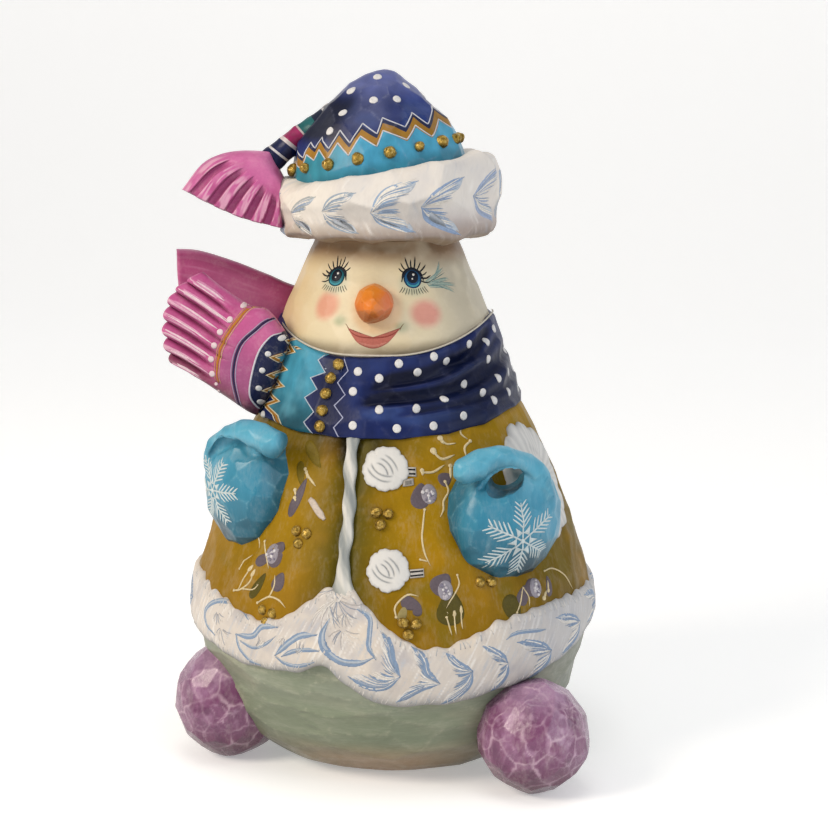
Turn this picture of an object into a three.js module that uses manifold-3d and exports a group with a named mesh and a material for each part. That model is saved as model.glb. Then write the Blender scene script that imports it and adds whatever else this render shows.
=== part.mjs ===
// A carved and painted wooden snowman, 220 mm tall: separate blocks of lime wood joined by glued dowels,
// with raised gold beads on the hat, the scarf and the coat.
// Millimetres, +Z up, origin at the centre of the flat base, nose pointing along -Y.
// An azimuth is measured about the Z axis from -Y (the nose) towards +X (the figure's own left hand).
import * as THREE from "three";
import { mergeVertices } from "three/addons/utils/BufferGeometryUtils.js";
import Module from "manifold-3d";

const wasm = await Module();
wasm.setup();

// ---- driving dimensions -------------------------------------------------------------------------
const GAP = 0.3; // glue line between neighbouring pieces
const BORE_EXTRA = 0.3; // a bore is this much wider in radius than its dowel
const BORE_DEPTH_EXTRA = 1.2; // and this much deeper at each end
const LARGE_SIDES = 40; // facets round the largest turned blocks
const SMALL_SIDES = 36;
const TIP_SIDES = 16;
const DOWEL_SIDES = 12;
const WELD = 1e-3; // vertices nearer than this are one

// Turned profiles are [radius, height] from the bottom up; both ends close on the axis.
const BODY_PROFILE = [
  [37, 0], [41.5, 1.5], [48, 6], [55.5, 14], [62, 26], [65.4, 38], [66, 46], [64.8, 57],
  [60.2, 72], [53.4, 90], [45.3, 108], [42, 113.5], [35, 118],
];
const HEAD_PROFILE = [
  [32, 118.4], [34.4, 126], [35.1, 133], [34.6, 138], [33.2, 143], [29.3, 152], [24.8, 162.5], [23.2, 166.2],
];
const BRIM_PROFILE = [
  [30.5, 166.6], [34.4, 167.8], [36, 171], [36.3, 178], [35.6, 184], [33, 187.6], [29.5, 188.6],
];
const BRIM_RISE = 0.185; // the brim's top gains this height per mm towards +X; its underside stays level
const CROWN_PROFILE = [
  [28.5, 180], [28.4, 188], [27.3, 194.4], [24.6, 200.6], [19.9, 206.7], [16.5, 210], [13.3, 213.2],
  [9.3, 216.4], [4.8, 219.4], [1.6, 220.3],
];
const HEAD_X = -2; // the head, brim and crown stand a little off the body's axis
const BRIM_X = -1.1;
const CROWN_X = -4;

// The scarf's wrap is a conical ring whose edges hang lower at the front than at the sides and back.
const SCARF_INNER = 30;
const SCARF_BOTTOM = { front: 108.3, back: 113.6 };
const SCARF_TOP = { front: 133.4, back: 142.8 };
const SCARF_CONE = { radius: 35.6, height: 141, slope: 0.33 };
const SCARF_X = -1.8;
const SCARF_DROOP = { from: 0.06, to: 0.5 }; // half turns from the front over which the edges rise
// Its outer wall from the bottom up, as [share of the height, inset].
const SCARF_SECTION = [[0, 1.2], [0.06, 0.2], [0.2, 0], [0.45, 0], [0.7, 0], [0.92, 0.3], [1, 1.3]];
const SCARF_PATTERN = 20;

// Outlines of the flat carved pieces: [distance along the piece's own plane, height].
const FRONT_TAIL = {
  at: [-28, -27], to: [-70, -20], thickness: 9,
  outline: [[12, 111.6], [5.5, 122], [0.5, 136.5], [8, 145.5], [14, 146.5], [24, 152.5], [30.5, 156.8],
    [39.4, 151], [42.4, 142.4], [42.4, 133], [38.6, 126.4], [26, 119.7], [15, 113.2]],
  pleats: [[[17, 148.5], [37, 156.6]], [[17.5, 145.2], [44.4, 147.6]], [[18.5, 139.5], [45.4, 137.5]],
    [[20.5, 133.6], [44.6, 129.2]], [[23, 127.8], [38, 121.5]]],
};
const BACK_TAIL = {
  at: [-24, 6], to: [-71, -3], thickness: 7,
  outline: [[-4, 128], [-4, 150], [8, 149.8], [18, 153.8], [29, 158.2], [40, 161.6], [47.6, 162.4],
    [47.6, 150], [44, 132], [24, 126]],
};
const TASSEL = {
  at: [-36, -9.5], to: [-65, -12.5], thickness: 12,
  outline: [[-3, 186], [1, 194], [10.5, 194.6], [17.5, 193.8], [23.6, 190.8], [29.6, 184.2], [30, 181.2],
    [18.4, 176.4], [4, 170], [-3, 170]],
  pleats: [[[14, 189.6], [27.5, 179.6]], [[8.5, 187.4], [19.6, 175.4]], [[4.6, 185.6], [11, 171.4]],
    [[1.8, 181], [3.6, 169]]],
};
// Radii of a pleat cut in mm, and its depths in half thicknesses.
const PLEAT_CUT = { start: 0.4, end: 1.7, shallow: 1.12, deep: 0.9 };
const SLAB_EDGE = { face: 1.6, side: 0.6 }; // how far a slab's softened edge reaches on its face and side
// Points and radii of the folded tip.
const HAT_TIP = [[[-12, -4, 206.3], 6.2], [[-28.6, -6.4, 198.6], 3.7], [[-38.6, -8.4, 190.2], 4.6]];
const NOSE = {
  base: [-1.4, -30.4, 148.6], azimuth: 5, radius: 6.1, length: 12.5, tenonRadius: 3, tenonLength: 9,
};

const MITTEN = { proud: 2, plug: 16, thumbRadius: 4.2, grooveRadius: 1.4 };
// Points on a mitten are [away from the coat's front, up, out of the coat], from the mitten's centre.
const MITTENS = {
  mitten_right: {
    azimuth: -51, height: 90.6, side: -1, half: [18, 19.4, 10],
    thumb: [
      [9, 3, 5.5], [6.8, 10, 5.8], [0.5, 15.8, 5.6], [-7, 19.2, 4.2], [-14.5, 18.6, 1.4], [-22, 15.4, -2.4],
    ],
    groove: [[-1, 14.2, 11], [-7, 13.6, 9.5], [-13.5, 10.2, 7.5], [-20, 9.4, 3.5]],
  },
  mitten_left: {
    azimuth: 46, height: 84, side: 1, half: [20, 19.4, 10.5],
    thumb: [
      [9, 3, 6], [6.8, 10, 6.2], [0.5, 15.8, 6.5], [-7, 19.4, 6.8], [-13.5, 19.2, 6], [-18.6, 14.8, 4],
    ],
    groove: [[-1, 14.2, 12], [-7, 13.6, 10.5], [-13.5, 10.2, 8.5], [-21, 9.4, 4.5]],
  },
};
// Through the figure's left mitten, parallel to Y.
const GRIP_HOLE = { x: 40.3, z: 97.6, radius: 5.2, from: -90, to: -10 };
const FEET = {
  foot_right: { centre: [-49.4, -26.2, 18.8], half: [17.2, 18.4, 19.3], azimuth: -55 },
  foot_left: { centre: [49.8, -45.6, 17.2], half: [17.4, 18.2, 17.8], azimuth: 45 },
};

const BEAD = { radius: 1.7, height: 1.15, sink: 0.2, spacing: 2.2 }; // spacing is from a cluster's middle
const HAT_BEADS = { count: 17, first: -6, radius: 27.9, height: 193.2 };
const SCARF_BEADS = [[-14.5, 130.6], [-17.5, 126.4], [-18.8, 121.8], [-19.4, 116.8], [-19.4, 112]];
const COAT_CLUSTERS = [[4.4, 87, 3], [-21.7, 80, 3], [12.3, 55.7, 3], [-28.5, 56, 3], [35, 65.7, 2]];

const COLOURS = {
  snow: 0xc9cdb6, skin: 0xe6d9b4, navy: 0x25306e, pink: 0xc2568f, fur: 0xe4e0da,
  blue: 0x3f9fc4, violet: 0x7d5480, carrot: 0xe07a20, gold: 0xb08a2e, lime: 0xd8bd8d,
};

// ---- small helpers ------------------------------------------------------------------------------
const vector = (p) => new THREE.Vector3(...p);

function polar(radius, azimuth, z) {
  const a = THREE.MathUtils.degToRad(azimuth);
  return new THREE.Vector3(radius * Math.sin(a), -radius * Math.cos(a), z);
}

// Radius of a turned profile at a height.
function radiusAt(profile, z) {
  const i = Math.max(1, profile.findIndex(([, height]) => height >= z));
  const [[r0, z0], [r1, z1]] = [profile[i - 1], profile[i]];
  return THREE.MathUtils.mapLinear(z, z0, z1, r0, r1);
}

// A solid for boolean work from a closed geometry, its vertices joined on position alone.
function toSolid(geometry) {
  const bare = new THREE.BufferGeometry();
  bare.setAttribute("position", geometry.attributes.position.clone());
  bare.setIndex(geometry.index);
  const merged = mergeVertices(bare, WELD);
  const vertProperties = new Float32Array(merged.attributes.position.array);
  const triVerts = new Uint32Array(merged.index.array);
  return new wasm.Manifold(new wasm.Mesh({ numProp: 3, vertProperties, triVerts }));
}

function toGeometry(solid) {
  const { vertProperties, triVerts } = solid.getMesh();
  const geometry = new THREE.BufferGeometry();
  geometry.setAttribute("position", new THREE.BufferAttribute(new Float32Array(vertProperties), 3));
  geometry.setIndex(new THREE.BufferAttribute(new Uint32Array(triVerts), 1));
  geometry.computeVertexNormals();
  return geometry;
}

// Moves each vertex of a geometry by change(vertex), in place.
function deform(geometry, change) {
  const position = geometry.attributes.position;
  const v = new THREE.Vector3();
  for (let i = 0; i < position.count; i++) {
    v.fromBufferAttribute(position, i);
    change(v);
    position.setXYZ(i, v.x, v.y, v.z);
  }
  return geometry;
}

// A turned blank about Z; grow moves every surface outwards, to cut a neighbour with clearance.
function turned(profile, grow, sides) {
  const last = profile.length - 1;
  const outline = profile.map(([r, z], i) => {
    const [r0, z0] = profile[Math.max(i - 1, 0)];
    const [r1, z1] = profile[Math.min(i + 1, last)];
    const length = Math.hypot(r1 - r0, z1 - z0);
    const end = i === 0 ? -grow : i === last ? grow : 0;
    return new THREE.Vector2(r + (grow * (z1 - z0)) / length, z - (grow * (r1 - r0)) / length + end);
  });
  const closed = [new THREE.Vector2(0, outline[0].y), ...outline, new THREE.Vector2(0, outline[last].y)];
  return new THREE.LatheGeometry(closed, sides).rotateX(Math.PI / 2);
}

// A straight rod between two points, tapered when two radii are given.
function rod(from, to, startRadius, endRadius = startRadius, sides = DOWEL_SIDES) {
  const axis = new THREE.Vector3().subVectors(to, from);
  const direction = axis.clone().normalize();
  const turn = new THREE.Quaternion().setFromUnitVectors(new THREE.Vector3(0, 1, 0), direction);
  const geometry = new THREE.CylinderGeometry(endRadius, startRadius, axis.length(), sides);
  const middle = new THREE.Vector3().addVectors(from, to).multiplyScalar(0.5);
  return geometry.applyQuaternion(turn).translate(...middle);
}

// The local frame of a flat carved piece: along its plane, up, and out of its front face.
function planeFrame({ at, to }) {
  const along = new THREE.Vector3(to[0] - at[0], to[1] - at[1], 0).normalize();
  const up = new THREE.Vector3(0, 0, 1);
  const face = new THREE.Vector3().crossVectors(along, up);
  return new THREE.Matrix4().makeBasis(along, up, face).setPosition(at[0], at[1], 0);
}

// A slab sawn to an outline, with softened edges; grow thickens it on every side.
function slab(piece, grow = 0) {
  const shape = new THREE.Shape(piece.outline.map(([u, v]) => new THREE.Vector2(u, v)));
  const depth = piece.thickness - 2 * SLAB_EDGE.face;
  const geometry = new THREE.ExtrudeGeometry(shape, {
    depth, bevelThickness: SLAB_EDGE.face + grow, bevelSize: SLAB_EDGE.side + grow, bevelSegments: 2,
  });
  return toSolid(geometry.translate(0, 0, -depth / 2).applyMatrix4(planeFrame(piece)));
}

// Square knife cuts along the pleats of a slab's two faces.
function cutPleats(solid, piece) {
  const frame = planeFrame(piece);
  for (const [[u0, v0], [u1, v1]] of piece.pleats) {
    for (const w of [-piece.thickness / 2, piece.thickness / 2]) {
      const from = new THREE.Vector3(u0, v0, w * PLEAT_CUT.shallow).applyMatrix4(frame);
      const to = new THREE.Vector3(u1, v1, w * PLEAT_CUT.deep).applyMatrix4(frame);
      solid = solid.subtract(toSolid(rod(from, to, PLEAT_CUT.start, PLEAT_CUT.end, 4)));
    }
  }
  return solid;
}

// ---- blocks -------------------------------------------------------------------------------------
const body = (grow = 0) => toSolid(turned(BODY_PROFILE, grow, LARGE_SIDES));

const head = (grow = 0) => toSolid(turned(HEAD_PROFILE, grow, SMALL_SIDES).translate(HEAD_X, 0, 0));

function brim(grow = 0) {
  const bottom = BRIM_PROFILE[0][1];
  const height = BRIM_PROFILE.at(-1)[1] - bottom;
  const tilt = (v) => {
    v.z += (BRIM_RISE * v.x * Math.max(v.z - bottom, 0)) / height;
  };
  return toSolid(deform(turned(BRIM_PROFILE, grow, SMALL_SIDES), tilt).translate(BRIM_X, 0, 0));
}

const crown = (grow = 0) => toSolid(turned(CROWN_PROFILE, grow, SMALL_SIDES).translate(CROWN_X, 0, 0));

// The hat's tip is gathered to a waist and flares again where the tassel starts.
function tip(grow = 0) {
  const [[root, rootRadius], [waist, waistRadius], [end, endRadius]] = HAT_TIP;
  const upper = toSolid(rod(vector(root), vector(waist), rootRadius + grow, waistRadius + grow, TIP_SIDES));
  const lower = toSolid(rod(vector(waist), vector(end), waistRadius + grow, endRadius + grow, TIP_SIDES));
  const knuckle = toSolid(new THREE.SphereGeometry(waistRadius + grow, TIP_SIDES, 8).translate(...waist));
  return upper.add(lower).add(knuckle);
}

// Outer radius of the scarf's wrap at a height.
const scarfRadius = (z) => SCARF_CONE.radius + (SCARF_CONE.height - z) * SCARF_CONE.slope;

// Lerp from a front value to a back value by azimuth, flat across the front.
function aroundNeck({ front, back }, x, y) {
  const turn = Math.abs(Math.atan2(x, -y)) / Math.PI;
  const share = THREE.MathUtils.smoothstep(turn, SCARF_DROOP.from, SCARF_DROOP.to);
  return THREE.MathUtils.lerp(front, back, share);
}

// The ring is turned as a pattern of unit height, its outer wall at SCARF_PATTERN and its bore at 1, and is
// then drawn out to the scarf's own edges and cone.
function scarfWrap(grow = 0) {
  const wall = SCARF_SECTION.map(([level, inset]) => new THREE.Vector2(SCARF_PATTERN - inset, level));
  const outline = [new THREE.Vector2(1, 0), ...wall, new THREE.Vector2(1, 1), new THREE.Vector2(1, 0)];
  const ring = new THREE.LatheGeometry(outline, LARGE_SIDES).rotateX(Math.PI / 2);
  deform(ring, (v) => {
    const r = Math.hypot(v.x, v.y);
    const low = aroundNeck(SCARF_BOTTOM, v.x, v.y) - grow;
    const high = aroundNeck(SCARF_TOP, v.x, v.y) + grow;
    v.z = THREE.MathUtils.lerp(low, high, v.z);
    const wanted = r < 2 ? SCARF_INNER : scarfRadius(v.z) + (r - SCARF_PATTERN) + grow;
    v.x = (v.x / r) * wanted + SCARF_X;
    v.y = (v.y / r) * wanted;
  });
  return toSolid(ring);
}

function nose() {
  const { base, azimuth, radius, length, tenonRadius, tenonLength } = NOSE;
  const outline = [
    [0, -tenonLength], [tenonRadius, -tenonLength], [tenonRadius, -2], [radius * 0.9, -2], [radius, 1.5],
    [radius * 0.93, length * 0.38], [radius * 0.72, length * 0.68], [radius * 0.4, length * 0.93],
    [0, length],
  ].map(([r, z]) => new THREE.Vector2(r, z));
  const carrot = new THREE.LatheGeometry(outline, 22).rotateX(Math.PI);
  return carrot.rotateZ(THREE.MathUtils.degToRad(azimuth)).translate(...base);
}

// The tenon alone, oversize, to bore its socket in the head.
function noseSocket() {
  const { base, azimuth, tenonRadius, tenonLength } = NOSE;
  const inwards = polar(-(tenonLength + BORE_DEPTH_EXTRA), azimuth, 0).add(vector(base));
  return toSolid(rod(polar(4, azimuth, 0).add(vector(base)), inwards, tenonRadius + BORE_EXTRA));
}

// The carrot stops a glue line short of the face, and its tenon goes on into the head.
function seatedNose() {
  const tenon = toSolid(rod(
    vector(NOSE.base), polar(-NOSE.tenonLength, NOSE.azimuth, 0).add(vector(NOSE.base)), NOSE.tenonRadius,
  ));
  return toSolid(nose()).subtract(head(GAP)).add(tenon);
}

// ---- mittens and feet ---------------------------------------------------------------------------
// A point given as [outwards, up, proud] on a mitten, in the assembly's frame.
function onMitten({ azimuth, height, side }, [u, v, w]) {
  const centre = polar(radiusAt(BODY_PROFILE, height) + MITTEN.proud + w, azimuth, height + v);
  return centre.add(polar(u * side, azimuth + 90, 0));
}

// A round bar bent along points on a mitten.
function bentBar(mitten, points, radius) {
  const shape = new THREE.Shape().absarc(0, 0, radius, 0, Math.PI * 2);
  const extrudePath = new THREE.CatmullRomCurve3(points.map((p) => onMitten(mitten, p)));
  return toSolid(new THREE.ExtrudeGeometry(shape, { steps: 9, curveSegments: 4, extrudePath }));
}

// A plump mitt that goes straight down to the coat behind, before it is cut to the coat.
function mitt({ azimuth, height, half }) {
  const [a, b, c] = half;
  const geometry = new THREE.SphereGeometry(1, 24, 14).rotateX(Math.PI / 2);
  deform(geometry, (v) => {
    const ring = Math.hypot(v.x, v.y);
    const plump = v.z < 0 && ring > 0.1 ? (1 - (1 - ring) * 0.2) / ring : 1;
    v.set(v.x * a * plump, v.y * b * plump, v.z * (v.z < 0 ? MITTEN.plug : c));
  });
  const right = polar(1, azimuth + 90, 0);
  const frame = new THREE.Matrix4().makeBasis(right, new THREE.Vector3(0, 0, 1), polar(1, azimuth, 0));
  return toSolid(geometry.applyMatrix4(frame.setPosition(onMitten({ azimuth, height, side: 1 }, [0, 0, 0]))));
}

function gripHole() {
  const { x, z, radius, from, to } = GRIP_HOLE;
  return toSolid(rod(new THREE.Vector3(x, from, z), new THREE.Vector3(x, to, z), radius, radius, 18));
}

function mittenBlock(name) {
  const mitten = MITTENS[name];
  let solid = mitt(mitten).add(bentBar(mitten, mitten.thumb, MITTEN.thumbRadius));
  solid = solid.subtract(bentBar(mitten, mitten.groove, MITTEN.grooveRadius));
  if (name === "mitten_left") solid = solid.subtract(gripHole());
  return solid.subtract(body(GAP)).subtract(scarfWrap(GAP));
}

function footBlock({ centre, half, azimuth }) {
  const geometry = new THREE.SphereGeometry(1, 24, 14).rotateX(Math.PI / 2).scale(...half);
  geometry.rotateZ(THREE.MathUtils.degToRad(azimuth)).translate(...centre);
  return toSolid(geometry).trimByPlane([0, 0, 1], 0).subtract(body(GAP));
}

// ---- dowels: each joins the named blocks, which are bored to take it -------------------------------
const DOWELS = {
  dowel_spine: {
    from: [-2, 0, 92], to: [-2, 0, 200], radius: 5,
    joins: ["body", "head", "hat_brim", "hat_crown"],
  },
  dowel_hat_tip: {
    from: [-16, -4.6, 204.6], to: [-28.6, -6.4, 198.8], radius: 1.6,
    joins: ["hat_crown", "hat_tip"],
  },
  dowel_tassel: {
    from: [-27, -6, 178], to: [-46, -9.5, 180], radius: 1.8,
    joins: ["hat_brim", "hat_tassel"],
  },
  dowel_scarf_front: {
    from: [-36, -21, 121], to: [-56, -23.6, 133], radius: 1.8,
    joins: ["scarf_wrap", "scarf_tail_front"],
  },
  dowel_scarf_back: {
    from: [-31.5, 5, 132], to: [-50, 1.5, 139], radius: 1.8,
    joins: ["head", "scarf_wrap", "scarf_tail_back"],
  },
  dowel_mitten_right: {
    from: [-29.7, -24, 90], to: [-45, -36.5, 90], radius: 2.5,
    joins: ["body", "mitten_right"],
  },
  dowel_mitten_left: {
    from: [31, -29, 80], to: [45, -42, 80], radius: 2.5,
    joins: ["body", "mitten_left"],
  },
  dowel_foot_right: {
    from: [-36, -17, 18], to: [-58, -27.4, 18], radius: 3,
    joins: ["body", "foot_right"],
  },
  dowel_foot_left: {
    from: [28, -25.6, 18], to: [56, -51.2, 18], radius: 3,
    joins: ["body", "foot_left"],
  },
};

function bore({ from, to, radius }) {
  const axis = vector(to).sub(vector(from)).setLength(BORE_DEPTH_EXTRA);
  return toSolid(rod(vector(from).sub(axis), vector(to).add(axis), radius + BORE_EXTRA));
}

// ---- gold beads -----------------------------------------------------------------------------------
// A low dome standing on a surface point, its back a little sunk.
function bead(point, normal) {
  const { radius, height, sink } = BEAD;
  const arc = [0, 35, 68].map((angle) => {
    const a = THREE.MathUtils.degToRad(angle);
    return new THREE.Vector2(radius * Math.cos(a), height * Math.sin(a));
  });
  const outline = [new THREE.Vector2(0, 0), ...arc, new THREE.Vector2(0, height)];
  const dome = new THREE.LatheGeometry(outline, 8);
  dome.applyQuaternion(new THREE.Quaternion().setFromUnitVectors(new THREE.Vector3(0, 1, 0), normal));
  return dome.translate(...point.clone().addScaledVector(normal, GAP - sink));
}

// Outward normal of a surface of revolution with a slope given as radius lost per mm of height.
const coneNormal = (azimuth, slope) => polar(1, azimuth, slope).normalize();

function slopeAt(profile, z) {
  return (radiusAt(profile, z - 1) - radiusAt(profile, z + 1)) / 2;
}

function beadsOnHat(beads) {
  const { count, first, radius, height } = HAT_BEADS;
  for (let i = 0; i < count; i++) {
    const azimuth = first + (360 / count) * i;
    const z = height + BRIM_RISE * polar(radius, azimuth, 0).x;
    const point = polar(radiusAt(CROWN_PROFILE, z) + GAP, azimuth, z).add(new THREE.Vector3(CROWN_X, 0, 0));
    beads[`bead_hat_${i + 1}`] = bead(point, coneNormal(azimuth, slopeAt(CROWN_PROFILE, z)));
  }
}

function beadsOnScarf(beads) {
  SCARF_BEADS.forEach(([azimuth, z], i) => {
    const point = polar(scarfRadius(z) + GAP, azimuth, z).add(new THREE.Vector3(SCARF_X, 0, 0));
    beads[`bead_scarf_${i + 1}`] = bead(point, coneNormal(azimuth, SCARF_CONE.slope));
  });
}

// Berries in clusters of two or three on the coat.
function beadsOnCoat(beads) {
  let n = 0;
  for (const [azimuth, z, count] of COAT_CLUSTERS) {
    for (let k = 0; k < count; k++) {
      const turn = (2 * Math.PI * k) / 3 + 0.4;
      const height = z + BEAD.spacing * Math.sin(turn);
      const r = radiusAt(BODY_PROFILE, height);
      const around = azimuth + THREE.MathUtils.radToDeg((BEAD.spacing * Math.cos(turn)) / r);
      const point = polar(r + GAP, around, height);
      beads[`bead_coat_${++n}`] = bead(point, coneNormal(around, slopeAt(BODY_PROFILE, height)));
    }
  }
}

// ---- assembly -------------------------------------------------------------------------------------
// A block less the space that its neighbours and their glue lines take.
const clearOf = (solid, ...neighbours) => neighbours.reduce((rest, taken) => rest.subtract(taken), solid);

const blocks = {
  body: body(),
  head: clearOf(head(), body(GAP), noseSocket()),
  nose: seatedNose(),
  scarf_wrap: clearOf(scarfWrap(), body(GAP), head(GAP)),
  scarf_tail_front: clearOf(cutPleats(slab(FRONT_TAIL), FRONT_TAIL), scarfWrap(GAP), head(GAP)),
  scarf_tail_back: clearOf(slab(BACK_TAIL), slab(FRONT_TAIL, GAP), scarfWrap(GAP), head(GAP)),
  hat_brim: clearOf(brim(), head(GAP)),
  hat_crown: clearOf(crown(), brim(GAP)),
  hat_tip: clearOf(tip(), crown(GAP), brim(GAP)),
  hat_tassel: clearOf(cutPleats(slab(TASSEL), TASSEL), brim(GAP), tip(GAP), crown(GAP)),
};
for (const name of Object.keys(MITTENS)) blocks[name] = clearOf(mittenBlock(name), slab(FRONT_TAIL, GAP));
for (const [name, foot] of Object.entries(FEET)) blocks[name] = footBlock(foot);

const dowels = {};
for (const [name, dowel] of Object.entries(DOWELS)) {
  dowels[name] = rod(vector(dowel.from), vector(dowel.to), dowel.radius);
  for (const block of dowel.joins) blocks[block] = blocks[block].subtract(bore(dowel));
}

const beads = {};
beadsOnHat(beads);
beadsOnScarf(beads);
beadsOnCoat(beads);

const PAINT = {
  body: COLOURS.snow, head: COLOURS.skin, nose: COLOURS.carrot, scarf_wrap: COLOURS.navy,
  hat_brim: COLOURS.fur, hat_crown: COLOURS.navy, hat_tip: COLOURS.navy, hat_tassel: COLOURS.pink,
  scarf_tail_front: COLOURS.pink,
  scarf_tail_back: COLOURS.pink, mitten_right: COLOURS.blue, mitten_left: COLOURS.blue,
  foot_right: COLOURS.violet, foot_left: COLOURS.violet,
};

const snowman = new THREE.Group();
snowman.name = "wooden_snowman_figure";

function addPart(name, geometry, color, roughness, metalness = 0) {
  const mesh = new THREE.Mesh(geometry, new THREE.MeshStandardMaterial({ color, roughness, metalness }));
  mesh.name = name;
  snowman.add(mesh);
}

for (const [name, solid] of Object.entries(blocks)) {
  const pieces = solid.decompose().sort((p, q) => q.volume() - p.volume());
  addPart(name, toGeometry(pieces[0]), PAINT[name], 0.42);
}
for (const [name, geometry] of Object.entries(dowels)) addPart(name, geometry, COLOURS.lime, 0.75);
for (const [name, geometry] of Object.entries(beads)) addPart(name, geometry, COLOURS.gold, 0.35, 0.75);

export default snowman;
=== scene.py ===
import math

import bmesh
import bpy
import numpy as np
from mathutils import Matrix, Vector
from mathutils.bvhtree import BVHTree
from mathutils.kdtree import KDTree


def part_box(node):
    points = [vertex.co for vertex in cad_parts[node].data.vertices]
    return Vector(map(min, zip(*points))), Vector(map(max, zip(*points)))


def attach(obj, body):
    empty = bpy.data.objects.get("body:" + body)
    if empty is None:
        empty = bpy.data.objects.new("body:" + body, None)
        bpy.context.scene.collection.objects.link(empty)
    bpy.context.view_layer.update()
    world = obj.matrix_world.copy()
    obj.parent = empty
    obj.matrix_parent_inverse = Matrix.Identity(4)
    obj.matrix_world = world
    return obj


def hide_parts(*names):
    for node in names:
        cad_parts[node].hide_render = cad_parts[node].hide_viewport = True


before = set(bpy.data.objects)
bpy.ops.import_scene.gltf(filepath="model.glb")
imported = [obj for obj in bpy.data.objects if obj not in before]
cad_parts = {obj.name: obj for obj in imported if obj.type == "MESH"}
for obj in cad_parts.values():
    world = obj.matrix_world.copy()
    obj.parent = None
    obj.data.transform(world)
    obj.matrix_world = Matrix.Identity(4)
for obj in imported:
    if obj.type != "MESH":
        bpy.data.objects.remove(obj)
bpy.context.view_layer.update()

MM = 0.001


# ---- camera, light and floor, in metres ------------------------------------------------------------
LENS, SENSOR = 80.94, 36.0  # millimetres
NEAREST, FARTHEST = 0.01, 20.0
CAMERA_AT, CAMERA_AIM = Vector((0.08350, -0.59416, 0.215)), Vector((0.00690, 0.00097, 0.10864))
LIGHT_AIM = Vector((0, 0, 0.11))
LIGHTS = [  # name, azimuth, height, distance from the Z axis, size, power, colour
    ("key", -48, 0.62, 0.85, 0.40, 5.4, (1.0, 0.90, 0.76)),
    ("fill", 62, 0.45, 0.95, 0.55, 2.2, (0.86, 0.93, 1.0)),
    ("top", 10, 1.10, 0.25, 0.60, 2.2, (1.0, 0.98, 0.95)),
]
WHITE = (1.0, 1.0, 1.0, 1.0)
SKY_STRENGTH = 0.37
FLOOR_HALF, FLOOR_FRONT, FLOOR_BACK, FLOOR_RISE, FLOOR_BEND = 2.2, -2.2, 1.4, 1.8, 0.5
FLOOR_DROP = 0.0002  # how far the floor lies below the figure's flat foot
FLOOR_GREY, FLOOR_GLOW, FLOOR_ROUGHNESS = 0.93, 0.31, 0.9
BEND_STEPS = 12


def make_camera():
    data = bpy.data.cameras.new("camera")
    data.lens, data.sensor_width = LENS, SENSOR
    data.clip_start, data.clip_end = NEAREST, FARTHEST
    camera = bpy.data.objects.new("camera", data)
    camera.location = CAMERA_AT
    camera.rotation_euler = (CAMERA_AIM - camera.location).to_track_quat("-Z", "Y").to_euler()
    bpy.context.collection.objects.link(camera)
    bpy.context.scene.camera = camera


def area_light(name, azimuth, height, distance, size, power, colour):
    data = bpy.data.lights.new(name, "AREA")
    data.shape, data.size, data.energy, data.color = "DISK", size, power, colour
    light = bpy.data.objects.new(name, data)
    a = math.radians(azimuth)
    light.location = (distance * math.sin(a), -distance * math.cos(a), height)
    light.rotation_euler = (LIGHT_AIM - light.location).to_track_quat("-Z", "Y").to_euler()
    bpy.context.collection.objects.link(light)


def make_light():
    for light in LIGHTS:
        area_light(*light)
    world = bpy.data.worlds.new("studio")
    world.use_nodes = True
    background = world.node_tree.nodes["Background"]
    background.inputs["Color"].default_value = WHITE
    background.inputs["Strength"].default_value = SKY_STRENGTH
    bpy.context.scene.world = world
    bpy.context.scene.view_settings.view_transform = "Standard"


def make_floor():
    """A sheet that runs back flat and then bends up into a wall."""
    start = FLOOR_BACK - FLOOR_BEND
    profile = [(FLOOR_FRONT, 0.0), (start, 0.0)]
    for i in range(1, BEND_STEPS + 1):
        a = math.pi / 2 * i / BEND_STEPS
        profile.append((start + FLOOR_BEND * math.sin(a), FLOOR_BEND - FLOOR_BEND * math.cos(a)))
    profile.append((FLOOR_BACK, FLOOR_RISE))
    verts = [(x, y, z - FLOOR_DROP) for y, z in profile for x in (-FLOOR_HALF, FLOOR_HALF)]
    faces = [(2 * i, 2 * i + 1, 2 * i + 3, 2 * i + 2) for i in range(len(profile) - 1)]
    mesh = bpy.data.meshes.new("floor")
    mesh.from_pydata(verts, [], faces)
    for polygon in mesh.polygons:
        polygon.use_smooth = True
    floor = bpy.data.objects.new("floor", mesh)
    bpy.context.collection.objects.link(floor)
    material = bpy.data.materials.new("floor")
    material.use_nodes = True
    shader = material.node_tree.nodes["Principled BSDF"]
    shader.inputs["Base Color"].default_value = (FLOOR_GREY, FLOOR_GREY, FLOOR_GREY, 1.0)
    shader.inputs["Roughness"].default_value = FLOOR_ROUGHNESS
    shader.inputs["Emission Color"].default_value = WHITE
    shader.inputs["Emission Strength"].default_value = FLOOR_GLOW
    mesh.materials.append(material)


# ---- numbers and curves --------------------------------------------------------------------------
def polar(radius, azimuth, z):
    a = np.radians(azimuth)
    return np.stack(np.broadcast_arrays(radius * np.sin(a), -radius * np.cos(a), z), -1)


def unit(v):
    return v / np.maximum(np.linalg.norm(v, axis=-1, keepdims=True), 1e-12)


def smoothstep(x, low, high):
    t = np.clip((x - low) / (high - low), 0.0, 1.0)
    return t * t * (3 - 2 * t)


def towards(azimuth, start, full):
    """Rises from 0 to 1 from one azimuth to another on one side, and fades out again towards the back."""
    return smoothstep(azimuth, start, full) * smoothstep(np.abs(azimuth), 170, 100)


def bump(x, centre, width):
    return np.exp(-(((x - centre) / width) ** 2))


def wrap(azimuth):
    return (np.asarray(azimuth, float) + 180.0) % 360.0 - 180.0


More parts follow.
